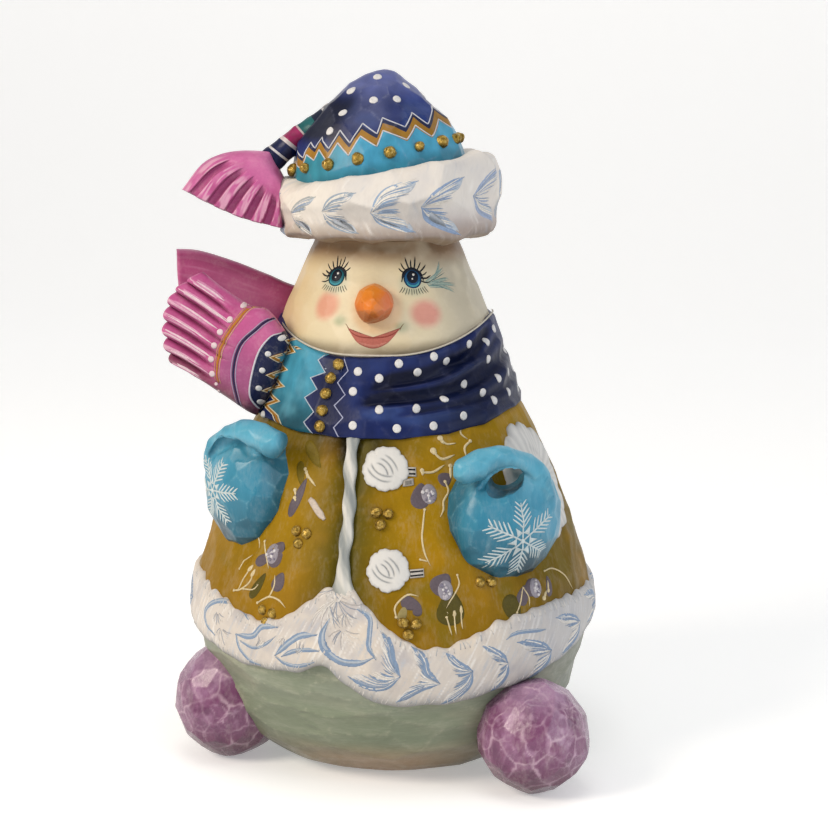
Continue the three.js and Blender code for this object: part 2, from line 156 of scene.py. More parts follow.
def spline(knots, values, x):
    """A smooth curve through the knots: cubic Hermite, with slopes limited against overshoot."""
    knots, values = np.asarray(knots, float), np.asarray(values, float)
    x = np.clip(np.asarray(x, float), knots[0], knots[-1])
    step = np.diff(knots)
    slope = np.diff(values) / step
    product = slope[:-1] * slope[1:]
    inner = np.where(product > 0, 2 * slope[:-1] * slope[1:] / (slope[:-1] + slope[1:] + 1e-12), 0)
    grad = np.concatenate([[slope[0]], inner, [slope[-1]]])
    i = np.clip(np.searchsorted(knots, x, side="right") - 1, 0, len(step) - 1)
    t = (x - knots[i]) / step[i]
    a, b = values[i], values[i + 1]
    ga, gb = grad[i] * step[i], grad[i + 1] * step[i]
    return a + t * (ga + t * (3 * (b - a) - 2 * ga - gb + t * (2 * (a - b) + ga + gb)))


def through(points, count, sharp=False):
    """Points spread evenly along a polyline, or along a smooth curve through its corners."""
    p = np.asarray(points, float)
    if not sharp and len(p) > 2:
        fine = np.linspace(0, len(p) - 1, 24 * len(p))
        ext = np.vstack([2 * p[0] - p[1], p, 2 * p[-1] - p[-2]])
        i = np.minimum(fine.astype(int), len(p) - 2)
        u = (fine - i)[:, None]
        a, b, c, d = ext[i], ext[i + 1], ext[i + 2], ext[i + 3]
        p = 0.5 * (2 * b + (c - a) * u + (2 * a - 5 * b + 4 * c - d) * u**2 + (3 * b - a - 3 * c + d) * u**3)
    length = np.concatenate([[0], np.cumsum(np.linalg.norm(np.diff(p, axis=0), axis=1))])
    at = np.linspace(0, length[-1], count)
    if sharp:
        at = np.unique(np.concatenate([at, length]))
    return np.stack([np.interp(at, length, p[:, k]) for k in range(p.shape[1])], -1)


def noise(points, size, seed=0):
    """Smooth value noise in -1..1 with features of about the given size."""
    q = np.asarray(points, float) / size + 37.3 * (seed + 1)
    cell = np.floor(q).astype(np.int64)
    f = q - cell
    f = f * f * (3 - 2 * f)
    total = np.zeros(q.shape[:-1])
    for corner in range(8):
        d = np.array([corner & 1, corner >> 1 & 1, corner >> 2 & 1])
        c = cell + d
        h = (c[..., 0] * 73856093) ^ (c[..., 1] * 19349663) ^ (c[..., 2] * 83492791) ^ (seed * 2654435761)
        h = (h ^ (h >> 13)) * 1274126177 & 0x7FFFFFFF
        value = (h % 65536) / 32767.5 - 1.0
        total += value * np.prod(np.where(d, f, 1 - f), axis=-1)
    return total


def layered(points, size, seed=0, octaves=3):
    return sum(noise(points, size / 2**k, seed + 11 * k) / 2**k for k in range(octaves)) / 1.6


def linear(hex_colour):
    c = np.array([int(hex_colour[i:i + 2], 16) / 255 for i in (0, 2, 4)])
    return np.where(c > 0.04045, ((c + 0.055) / 1.055) ** 2.4, c / 12.92)


def blend(a, b, amount):
    amount = np.clip(np.asarray(amount, float), 0, 1)[..., None]
    return a * (1 - amount) + b * amount


def washed(tint, washes):
    """A tint under further washes of paint, each given as its colour and how far it covers."""
    for colour, amount in washes:
        tint = blend(tint, linear(colour), amount)
    return tint


def turns(count):
    """Angles in radians spread evenly round a full turn."""
    return np.linspace(0, 2 * math.pi, count, endpoint=False)


# ---- meshes --------------------------------------------------------------------------------------
def ring_faces(rows, count, start=0, closed=False):
    """Quads between rows of closed rings; a closed band's last row also joins its first."""
    j = np.arange(count)
    k = (j + 1) % count
    faces = []
    for i in range(rows if closed else rows - 1):
        a, b = start + i * count, start + (i + 1) % rows * count
        faces.extend(zip((a + j).tolist(), (a + k).tolist(), (b + k).tolist(), (b + j).tolist()))
    return faces


def mound_faces(rows, count, start=0):
    """Rows of rings, a fan to the point that follows them, and a flat base."""
    top, middle = start + (rows - 1) * count, start + rows * count
    faces = ring_faces(rows, count, start)
    faces += [(top + j, top + (j + 1) % count, middle) for j in range(count)]
    return faces + [tuple(start + count - 1 - j for j in range(count))]


def grid_faces(rows, columns, start=0):
    faces = []
    for i in range(rows - 1):
        for j in range(columns - 1):
            a = start + i * columns + j
            faces.append((a, a + 1, a + 1 + columns, a + columns))
    return faces


def ring_normals(rings):
    """Outward normals of an array of closed rings [row, around, xyz] that climb while azimuth grows."""
    around = np.roll(rings, -1, 1) - np.roll(rings, 1, 1)
    up = np.gradient(rings, axis=0)
    return unit(np.cross(around, up))


def capped_rings(rings):
    """Vertices and faces of stacked rings closed by a fan at each end."""
    rows, count = rings.shape[:2]
    verts = np.vstack([rings.reshape(-1, 3), rings[0].mean(0), rings[-1].mean(0)])
    faces = ring_faces(rows, count)
    low, high = rows * count, rows * count + 1
    top = (rows - 1) * count
    faces += [(low, (j + 1) % count, j) for j in range(count)]
    faces += [(high, top + j, top + (j + 1) % count) for j in range(count)]
    return verts, faces


def make_piece(name, verts, faces, material, slot, nodes=(), **marks):
    """A painted piece. Marks are values at its first points: colours as tint or sky, and plain numbers."""
    mesh = bpy.data.meshes.new(name)
    mesh.from_pydata((np.asarray(verts) * MM).tolist(), [], faces)
    count = len(mesh.vertices)
    mesh.polygons.foreach_set("use_smooth", [True] * len(mesh.polygons))
    for key, value in marks.items():
        coloured = key in ("tint", "sky")
        value = np.asarray(value, float).reshape(-1, 3 if coloured else 1)
        value = np.vstack([value, np.repeat(value[-1:], count - len(value), 0)]).astype(np.float32)
        if coloured:
            value = np.hstack([value, np.ones((count, 1), np.float32)])
            mesh.attributes.new(key, "FLOAT_COLOR", "POINT").data.foreach_set("color", value.ravel())
        else:
            mesh.attributes.new(key, "FLOAT", "POINT").data.foreach_set("value", value.ravel())
    mesh.materials.append(material)
    piece = bpy.data.objects.new(name, mesh)
    bpy.context.collection.objects.link(piece)
    outward(piece)
    # Painted shade: the under mark grows where a surface looks down, and finish darkens the paint there.
    normals = np.array([vertex.normal[2] for vertex in mesh.vertices], np.float32)
    mesh.attributes.new("under", "FLOAT", "POINT").data.foreach_set("value", smoothstep(-normals, 0.0, 0.85))
    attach(piece, "root")
    if nodes:
        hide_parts(*nodes)
    return piece


def scatter(points, spacing, rng, tries=14000):
    """Indices of points at least a spacing apart."""
    order = rng.permutation(len(points))[:tries]
    chosen = []
    kept = np.empty((0, 3))
    for i in order:
        if len(kept) == 0 or np.min(((kept - points[i]) ** 2).sum(1)) > spacing * spacing:
            chosen.append(i)
            kept = np.vstack([kept, points[i]])
    return np.array(chosen)


def carve(points, normals, spacing, radius, tilt=0.06, depth=0.08, seed=1, stretch=(1, 1, 1), strength=1.0):
    """Knife facets: each cut is a shallow dish of the given radius, tilted a little its own way.
    Returns the cut points and how near each is to a ridge between cuts (0..1)."""
    rng = np.random.default_rng(seed)
    shape = points.shape
    p, n = points.reshape(-1, 3), normals.reshape(-1, 3)
    q = p * np.array(stretch)
    seeds = q[scatter(q, spacing, rng)]
    tree = KDTree(len(seeds))
    for i, s in enumerate(seeds):
        tree.insert(s, i)
    tree.balance()
    near = np.array([[hit[1] for hit in tree.find_n(v, 5)] for v in q])
    lean = rng.normal(0, tilt, (len(seeds), 3))
    lift = rng.uniform(-depth, depth, len(seeds))
    offset = q[:, None, :] - seeds[near]
    value = lift[near] + (offset * lean[near]).sum(-1) - (offset**2).sum(-1) / (2 * radius)
    value.sort(axis=1)
    best = value[:, -1]
    inward = (best - np.percentile(best, 3)) * strength
    ridge = np.exp(-(value[:, -1] - value[:, -2]) / 0.07)
    return (p - n * inward[:, None]).reshape(shape), ridge.reshape(shape[:-1])


def box_mm(node):
    low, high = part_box(node)
    return np.array(low) / MM, np.array(high) / MM


# ---- materials -----------------------------------------------------------------------------------
GLAZE = (0.82, 0.79, 0.76)  # a thin antique glaze over all the paint
UNDERSIDE_SHADE = 0.45  # painted shade: this much darker where a surface looks down
PLAIN_SPECULAR, COAT_SPECULAR, COAT_SHARE, COAT_ROUGHNESS = 0.12, 0.8, 0.5, 0.22


class Nodes:
    """A short way to write a material's node tree."""

    def __init__(self, name):
        self.material = bpy.data.materials.new(name)
        self.material.use_nodes = True
        self.tree = self.material.node_tree
        self.shader = self.tree.nodes["Principled BSDF"]
        self.place = self.tree.nodes.new("ShaderNodeTexCoord").outputs["Object"]

    def node(self, kind, **inputs):
        made = self.tree.nodes.new("ShaderNode" + kind)
        for key, value in inputs.items():
            self.feed(made.inputs[key.replace("_", " ")], value)
        return made

    def feed(self, socket, value):
        if isinstance(value, bpy.types.NodeSocket):
            self.tree.links.new(value, socket)
        else:
            socket.default_value = value

    def stretched(self, stretch):
        mapping = self.node("Mapping", Vector=self.place)
        mapping.inputs["Scale"].default_value = stretch
        return mapping.outputs["Vector"]

    def grain(self, size_mm, stretch=(1, 1, 1), detail=3.0, roughness=0.55):
        """Noise in 0..1 with features of about size_mm."""
        made = self.node("TexNoise", Vector=self.stretched(stretch), Scale=1000.0 / size_mm)
        made.inputs["Detail"].default_value = detail
        made.inputs["Roughness"].default_value = roughness
        return made.outputs["Fac"]

    def attribute(self, name, output="Fac"):
        made = self.tree.nodes.new("ShaderNodeAttribute")
        made.attribute_name = name
        return made.outputs[output]

    def math(self, operation, a, b=0.0, clamp=False):
        made = self.tree.nodes.new("ShaderNodeMath")
        made.operation, made.use_clamp = operation, clamp
        self.feed(made.inputs[0], a)
        self.feed(made.inputs[1], b)
        return made.outputs[0]

    def remap(self, value, low, high, to_low=0.0, to_high=1.0):
        made = self.tree.nodes.new("ShaderNodeMapRange")
        self.feed(made.inputs["Value"], value)
        for key, number in (("From Min", low), ("From Max", high), ("To Min", to_low), ("To Max", to_high)):
            made.inputs[key].default_value = number
        return made.outputs["Result"]

    def mix(self, factor, a, b, mode="MIX"):
        made = self.tree.nodes.new("ShaderNodeMix")
        made.data_type, made.blend_type = "RGBA", mode
        self.feed(made.inputs[0], factor)
        self.feed(made.inputs[6], rgba(a))
        self.feed(made.inputs[7], rgba(b))
        return made.outputs[2]

    def darkened(self, colour, shade):
        """The colour times a grey value."""
        grey = self.node("CombineXYZ", X=shade, Y=shade, Z=shade).outputs[0]
        return self.mix(1.0, colour, grey, "MULTIPLY")

    def patterned(self, colour, deepest, wear, wear_colour, smoothest, coat):
        """Brushed paint over a painted pattern, rubbed pale on the ridges."""
        shade = self.remap(self.grain(4.0, (1, 1, 0.5), 4.0), 0.3, 0.7, deepest, 1.12)
        patchy = self.remap(self.grain(2.0), 0.4, 0.62)
        worn = self.math("MULTIPLY", self.math("MULTIPLY", self.attribute("ridge"), patchy), wear, True)
        colour = self.mix(worn, self.darkened(colour, shade), wear_colour)
        rough = self.remap(self.grain(3.0), 0.3, 0.7, smoothest, smoothest + 0.16)
        strokes = self.math("MULTIPLY", self.grain(0.6, (1, 1, 0.4), 4.0), 0.7)
        return self.finish(colour, rough, self.math("ADD", strokes, self.grain(2.4)), 0.06, coat)

    def bands(self, value, stops, low, high):
        """Hard-edged colours: stops are (value, colour) from low to high, each holding up to the next."""
        ramp = self.tree.nodes.new("ShaderNodeValToRGB")
        ramp.color_ramp.interpolation = "CONSTANT"
        self.feed(ramp.inputs[0], self.remap(value, low, high))
        elements = ramp.color_ramp.elements
        elements.remove(elements[1])
        elements[0].position, elements[0].color = 0.0, rgba(stops[0][1])
        for edge, colour in stops[1:]:
            elements.new((edge - low) / (high - low)).color = rgba(colour)
        return ramp.outputs["Color"]

    def finish(self, colour, roughness=0.45, height=None, depth_mm=0.05, coat=0.0, metallic=0.0):
        # Painted shade: darker where the under mark says the surface looks down, then the thin glaze over all
        # the paint.
        shaded = self.math("SUBTRACT", 1.0, self.math("MULTIPLY", self.attribute("under"), UNDERSIDE_SHADE))
        red, green, blue = (self.math("MULTIPLY", shaded, depth) for depth in GLAZE)
        glaze_and_underside_shade = self.node("CombineXYZ", X=red, Y=green, Z=blue)
        self.feed(self.shader.inputs["Base Color"], self.mix(1.0, colour, glaze_and_underside_shade.outputs[0], "MULTIPLY"))
        self.feed(self.shader.inputs["Roughness"], roughness)
        self.feed(self.shader.inputs["Metallic"], metallic)
        self.shader.inputs["Specular IOR Level"].default_value = PLAIN_SPECULAR + COAT_SPECULAR * coat
        self.shader.inputs["Coat Weight"].default_value = coat * COAT_SHARE
        self.shader.inputs["Coat Roughness"].default_value = COAT_ROUGHNESS
        if height is not None:
            relief = self.node("Bump", Strength=1.0, Distance=depth_mm * MM, Height=height)
            self.feed(self.shader.inputs["Normal"], relief.outputs["Normal"])
        return self.material


def rgba(colour):
    if isinstance(colour, bpy.types.NodeSocket):
        return colour
    if isinstance(colour, str):
        colour = linear(colour)
    return (*[float(c) for c in colour[:3]], 1.0)


MATERIALS = {}


def painted_wood(name, brush=(1, 1, 0.35), mottle=0.16, wear="e8dcc0", wear_amount=0.22, gloss=0.42,
                 coat=0.12, bump_mm=0.07):
    """Brushed satin paint over knife-cut wood: the tint attribute, mottled and rubbed pale on ridges."""
    if name in MATERIALS:
        return MATERIALS[name]
    n = Nodes(name)
    colour = n.attribute("tint", "Color")
    broad = n.remap(n.grain(5.0, brush, 4.0), 0.35, 0.65, -1.0, 1.0)
    fine = n.remap(n.grain(0.9, brush, 3.0, 0.6), 0.35, 0.65, -1.0, 1.0)
    shade = n.math("ADD", n.math("MULTIPLY", broad, mottle * 0.6), n.math("MULTIPLY", fine, mottle * 0.4))
    light = n.math("MAXIMUM", shade, 0.0)
    dark = n.math("MAXIMUM", n.math("MULTIPLY", shade, -1.0), 0.0)
    colour = n.mix(dark, colour, n.mix(1.0, colour, (0.25, 0.24, 0.26), "MULTIPLY"))
    colour = n.mix(light, colour, n.mix(0.6, colour, (1.0, 0.97, 0.9)))
    patchy = n.remap(n.grain(2.2, (1, 1, 1), 4.0), 0.42, 0.62)
    worn = n.math("MULTIPLY", n.math("MULTIPLY", n.attribute("ridge"), patchy), wear_amount, True)
    colour = n.mix(worn, colour, wear)
    rough = n.remap(n.grain(3.0), 0.3, 0.7, gloss - 0.07, gloss + 0.10)
    strokes = n.grain(0.55, brush, 4.0, 0.65)
    relief = n.math("ADD", n.math("MULTIPLY", strokes, 0.7), n.math("MULTIPLY", n.grain(2.4, (1, 1, 1)), 0.5))
    MATERIALS[name] = n.finish(colour, rough, relief, bump_mm, coat)
    return MATERIALS[name]


def stroke_paint(name, gloss=0.5):
    """Thick little strokes of paint over the ground colour, each with its own tint."""
    if name in MATERIALS:
        return MATERIALS[name]
    n = Nodes(name)
    uneven = n.remap(n.grain(0.7, (1, 1, 1), 3.0), 0.35, 0.7, 0.86, 1.04)
    colour = n.darkened(n.attribute("tint", "Color"), uneven)
    rough = n.remap(n.grain(0.8), 0.3, 0.7, gloss - 0.08, gloss + 0.1)
    MATERIALS[name] = n.finish(colour, rough, n.grain(0.4, (1, 1, 1), 2.0), 0.06, 0.08)
    return MATERIALS[name]


# ---- painting on a surface -----------------------------------------------------------------------
class Canvas:
    """A finished mesh to paint on. Its two coordinates are azimuth and height, or a plane's two lengths."""

    def __init__(self, verts, faces, axis_x=0.0, plane=None):
        self.tree = BVHTree.FromPolygons([Vector(v) for v in verts], faces)
        self.axis_x, self.plane = axis_x, plane

    def hit(self, u, v):
        if self.plane is None:
            a = math.radians(u)
            out = Vector((math.sin(a), -math.cos(a), 0))
            start = out * 150 + Vector((self.axis_x, 0, v))
        else:
            origin, right, up, out = self.plane
            start = origin + right * u + up * v + out * 80
        found, normal, _, _ = self.tree.ray_cast(start, -out, 150)
        if found is None:
            found, normal, _, _ = self.tree.find_nearest(start - out * (100 if self.plane is None else 80))
        if normal.dot(out) < 0:
            normal = -normal
        return found, (normal + out * 0.15).normalized()

    def scale(self, u, v):
        """Millimetres along the surface per unit of u and of v."""
        point, normal = self.hit(u, v)
        if self.plane is not None:
            return 1.0, 1.0
        radius = math.hypot(point.x - self.axis_x, point.y)
        rise = 1 / math.sqrt(max(1 - normal.z**2, 0.12))
        return radius * math.pi / 180, rise


class Paint:
    """Raised strokes, dots and patches on one canvas, gathered into one piece."""

    def __init__(self, canvas):
        self.canvas, self.verts, self.faces, self.tints = canvas, [], [], []

    def place(self, u, v, height, tint):
        point, normal = self.canvas.hit(u, v)
        self.verts.append(point + normal * height)
        self.tints.append(tint)

    def line(self, points, width, colour, taper=(0.35, 0.35), height=0.14, sharp=False, step=0.8):
        """A stroke along points, its width in mm; taper is the share of the width left at each end."""
        tint = linear(colour)
        p = np.asarray(points, float)
        su, sv = self.canvas.scale(*p.mean(0))
        mm = p * (su, sv)
        length = np.linalg.norm(np.diff(mm, axis=0), axis=1).sum()
        count = max(4, int(length / step) + 1)
        path = through(mm, count, sharp)
        before = unit(np.diff(path, axis=0, prepend=path[:1] * 2 - path[1:2]))
        after = unit(np.diff(path, axis=0, append=path[-1:] * 2 - path[-2:-1]))
        side = unit((before + after) @ np.array([[0, 1], [-1, 0]]))
        mitre = 1 / np.maximum(np.abs((side * (after @ np.array([[0, 1], [-1, 0]]))).sum(1)), 0.45)
        t = np.linspace(0, 1, len(path))
        full = smoothstep(t, 0, 0.25) * (1 - taper[0]) + taper[0]
        full *= smoothstep(1 - t, 0, 0.25) * (1 - taper[1]) + taper[1]
        start, section = len(self.verts), ((-1, -0.08), (-0.62, 0.8), (0, 1), (0.62, 0.8), (1, -0.08))
        for i, q in enumerate(path):
            half = width / 2 * full[i] * mitre[i]
            for across, up in section:
                w = q + side[i] * across * half
                self.place(w[0] / su, w[1] / sv, up * height if up > 0 else -0.1, tint)
        for i in range(len(path) - 1):
            a, b = start + 5 * i, start + 5 * (i + 1)
            self.faces += [(a + k, b + k, b + k + 1, a + k + 1) for k in range(4)]
            self.faces.append((a + 4, b + 4, b, a))
        last = start + 5 * (len(path) - 1)
        self.faces += [tuple(start + k for k in range(5)), tuple(last + 4 - k for k in range(5))]

    def blob(self, outline, colour, height=0.16, rings=3, smooth=True, around=28):
        """A filled patch inside a closed outline, pulled from its middle."""
        tint = linear(colour)
        p = np.asarray(outline, float)
        centre = p.mean(0)
        closed = np.vstack([p, p[:1]])
        if smooth:
            wrapped = np.vstack([p[-1:], p, p[:2]])
            dense = through(wrapped, 24 * len(wrapped))
            first = np.argmin(np.linalg.norm(dense[:len(dense) // 3] - p[0], axis=1))
            last = len(dense) - 1 - np.argmin(np.linalg.norm(dense[::-1][:len(dense) // 3] - p[0], axis=1))
            closed = dense[first:last + 1]
        ring = through(closed, around + 1, sharp=not smooth)[:-1]
        count = len(ring)
        start = len(self.verts)
        steps = [(1.0, -0.1), (0.96, height * 0.8)]
        steps += [(1 - (k + 1) / (rings + 1), height) for k in range(rings)]
        for share, up in steps:
            for q in centre + (ring - centre) * share:
                self.place(q[0], q[1], up, tint)
        self.place(centre[0], centre[1], height, tint)
        self.faces += mound_faces(len(steps), count, start)

    def dot(self, u, v, radius, colour, height=0.28, tall=1.0, lean=0.0, around=14):
        """A round daub; tall stretches it along v and lean turns it, in degrees."""
        tint = linear(colour)
        su, sv = self.canvas.scale(u, v)
        start, turn = len(self.verts), math.radians(lean)
        rows = ((1.0, -0.1), (0.94, 0.55), (0.7, 0.9), (0.35, 1.0))
        for share, up in rows:
            for j in range(around):
                a = 2 * math.pi * j / around
                x, y = radius * share * math.cos(a), radius * share * tall * math.sin(a)
                x, y = x * math.cos(turn) - y * math.sin(turn), x * math.sin(turn) + y * math.cos(turn)
                self.place(u + x / su, v + y / sv, up * height if up > 0 else -0.1, tint)
        self.place(u, v, height, tint)
        self.faces += mound_faces(len(rows), around, start)

    def dot_near(self, u, v, x, y, *look, **more):
        """A daub x mm beside (u, v) and y mm above it."""
        (cu, cv), = at_mm(self.canvas, u, v, [(x, y)])
        self.dot(cu, cv, *look, **more)

    def line_near(self, u, v, offsets, *look, **more):
        """A stroke along points given in mm from (u, v)."""
        self.line(at_mm(self.canvas, u, v, offsets), *look, **more)

    def finish(self, name, slot, gloss=0.5):
        material = stroke_paint("paint_strokes", gloss)
        return make_piece(name, self.verts, self.faces, material, slot, tint=self.tints)


# ---- the turned shapes (radius, height), as in the CAD model ---------------------------------------
BODY = [(37, 0), (41.5, 1.5), (48, 6), (55.5, 14), (62, 26), (65.4, 38), (66, 46), (64.8, 57), (60.2, 72),
        (53.4, 90), (45.3, 108), (42, 113.5), (35, 118)]
HEAD = [(32, 118.4), (34.4, 126), (35.1, 133), (34.6, 138), (33.2, 143), (29.3, 152), (24.8, 162.5),
        (23.2, 166.2)]
CROWN = [(28.5, 180), (28.4, 188), (27.3, 194.4), (24.6, 200.6), (19.9, 206.7), (16.5, 210), (13.3, 213.2),
         (9.3, 216.4), (4.8, 219.4), (1.6, 220.3)]
HEAD_X, BRIM_X, CROWN_X, SCARF_X = -2.0, -1.1, -4.0, -1.8  # where each axis stands
BRIM_RADIUS, BRIM_FOOT = 36, 166.6
BRIM_RISE = 0.185  # how steeply its upper edge climbs towards the figure's left
HEM_RADIUS = 65


def profile_radius(profile, z):
    radii, heights = zip(*profile)
    return spline(heights, radii, z)


def revolve(profile, axis_x, around, levels):
    """Rings of a turned shape [row, around, xyz] at given heights, with each point's height and azimuth."""
    azimuths = np.linspace(-180, 180, around, endpoint=False)
    radii = profile_radius(profile, levels)
    rings = polar(radii[:, None], azimuths[None, :], np.asarray(levels)[:, None])
    rings[..., 0] += axis_x
    heights = levels[:, None] + 0 * azimuths[None]
    return rings, heights, azimuths[None] + 0 * heights


def tint_of(base, shape):
    return np.broadcast_to(linear(base), (*shape, 3)).copy()


# ---- body: snow base, coat, fur hem, placket, buttons and cuffs ------------------------------------
HEM_TOP = [(-180, 57), (-120, 58), (-70, 60.5), (-50, 57.5), (-31, 53.6), (-24, 55.5), (-17, 60), (-11, 65.3),
           (-4, 65.8), (2, 59.5), (10, 51.8), (18, 48.2), (28, 50.5), (38, 54.5), (60, 56.5), (82, 55.6),
           (125, 57), (180, 57)]
HEM_LOW = [(-180, 45), (-90, 44.5), (-54.5, 41), (-31, 38.6), (-20, 39.6), (-10.6, 42.8), (-6, 38), (2, 32.6),
           (10, 30), (24, 30.6), (40, 33.2), (54, 35.8), (75, 41.5), (95, 45), (180, 45)]
PLACKET_AZ, HEM_LAP_AZ = -7.0, -9.5


def hem_edges(azimuth):
    """Lower and upper edge heights of the fur band."""
    top = spline(*zip(*HEM_TOP), wrap(azimuth))
    low = spline(*zip(*HEM_LOW), wrap(azimuth))
    a = np.radians(wrap(azimuth))
    top = top + 0.75 * np.abs(np.sin(23 * a + 0.6 * np.sin(7 * a))) + 0.35 * np.sin(61 * a)
    low = low - 0.3 * np.sin(17 * a + 0.5) - 0.2 * np.sin(37 * a)
    return low, top


def valley(azimuth, z, x0, width, depth):
    return depth * bump((wrap(azimuth - x0)) * profile_radius(BODY, z) * math.pi / 180, 0, width)


def make_coat():
    levels = np.linspace(27, 118, 118)
    rings, zz, aa = revolve(BODY, 0.0, 400, levels)
    normals = ring_normals(rings)
    hem_low, hem_top = hem_edges(aa)
    tucked = 3.0 * smoothstep(zz, 0.35 * hem_low + 0.65 * hem_top, 0.8 * hem_low + 0.2 * hem_top)
    opening = valley(aa, zz, PLACKET_AZ, 3.6, 1.3) * smoothstep(zz, 58, 66)
    rings = rings - normals * (opening + tucked)[..., None]
    rings, ridge = carve(rings, normals, 7.0, 40, tilt=0.06, depth=0.12, seed=5, stretch=(1, 1, 0.8))
    tint = tint_of("a98409", zz.shape)
    tint = washed(tint, [
        ("957006", 0.8 * smoothstep(zz, 84, 58)),
        # painted shade: darker olive high up, under the scarf
        ("786a1c", 0.8 * smoothstep(zz, 96, 112) * (1 - towards(aa, 8, 30))),
    ])
    mm_from_placket = wrap(aa - PLACKET_AZ) * profile_radius(BODY, zz) * math.pi / 180
    tint = washed(tint, [
        # painted shade: dark olive in the folds beside the placket, and on the figure's left side up under
        # the scarf
        ("534f10", 0.95 * bump(mm_from_placket, 0.5, 11.0)),
        ("66560f", 0.75 * towards(aa, 34, 62) * smoothstep(zz, 112, 98)),
    ])
    # painted shadow: near black just under the scarf at the front
    painted_scarf_shadow = bump(mm_from_placket, -1.0, 13.0) * smoothstep(zz, 98, 106)
    tint = blend(tint, linear("120d06"), 0.92 * painted_scarf_shadow)
    patch = layered(rings, 11, seed=3)
    tint = washed(tint, [
        ("7a6e16", 0.55 * smoothstep(patch, 0.05, 0.7)),
        ("c08e18", 0.30 * smoothstep(-patch, 0.1, 0.7)),
    ])
    verts, faces = capped_rings(rings)
    canvas = Canvas(verts, faces)
    material = painted_wood("coat_paint", wear="d8a83a", wear_amount=0.10, mottle=0.12, gloss=0.45, coat=0.0)
    make_piece("coat", verts, faces, material, "body_paint", ("body",), ridge=ridge, tint=tint)
    return canvas


def make_snow_base():
    levels = np.concatenate([np.linspace(0, 8, 16), np.linspace(8.6, 50, 76)])
    rings, zz, aa = revolve(BODY, 0.0, 400, levels)
    normals = ring_normals(rings)
    rings = rings - normals * (1.3 * smoothstep(zz, 12, 30))[..., None]
    rings, ridge = carve(rings, normals, 9.0, 60, tilt=0.05, depth=0.1, seed=9, stretch=(0.62, 0.62, 1.5))
    rings[..., 2] = np.maximum(rings[..., 2], 0.0)
    tint = tint_of("909c85", zz.shape)
    tint = blend(tint, linear("a3ab9f"), smoothstep(zz, 24, 36) * 0.7)
    front = bump(aa, 4, 40)
    tint = washed(tint, [
        ("bda283", smoothstep(zz, 17, 7) * (0.25 + 0.75 * front)),
        # painted shade: darker beside the right foot, greyer on the figure's left side, darker just under the
        # hem at the front
        ("7f8872", 0.5 * bump(aa, -55, 22)),
        ("84887e", 0.7 * towards(aa, 25, 60)),
        ("7d8c70", 0.5 * bump(aa, -22, 14) * smoothstep(zz, 26, 36)),
    ])
    patch = layered(rings * (0.5, 0.5, 1.2), 9, seed=8)
    tint = washed(tint, [
        ("bdbda6", 0.4 * smoothstep(patch, 0.1, 0.7)),
        ("747d68", 0.4 * smoothstep(-patch, 0.1, 0.7)),
    ])
    verts, faces = capped_rings(rings)
    material = painted_wood("snow_paint", brush=(0.4, 0.4, 2.0), wear="dcdcc6", wear_amount=0.3, mottle=0.14,
                            gloss=0.42)
    make_piece("snow_base", verts, faces, material, "body_paint", ridge=ridge, tint=tint)


def fur_colour(shape, points, seed):
    """Creamy fur ground with warm and cool brushing."""
    tint = tint_of("e2dcd6", shape)
    tint = blend(tint, linear("cbc8cb"), 0.8 * smoothstep(layered(points, 7, seed), -0.1, 0.6))
    return blend(tint, linear("efe4d6"), 0.6 * smoothstep(layered(points, 10, seed + 5), 0.0, 0.6))


def closed_band(outer, inner_points):
    """A closed ring from outer rows [row, around, xyz] and a few inner rows."""
    rows = np.concatenate([outer, inner_points])
    return rows.reshape(-1, 3), ring_faces(*rows.shape[:2], closed=True)


def hair_relief(along, across, seed, size=0.8, flow=6.0):
    """Combed hair: noise drawn out along one direction."""
    p = np.stack([along / flow, across / size, 0 * along], -1)
    return 0.7 * noise(p, 1.0, seed) + 0.3 * noise(p * 2.1, 1.0, seed + 3)


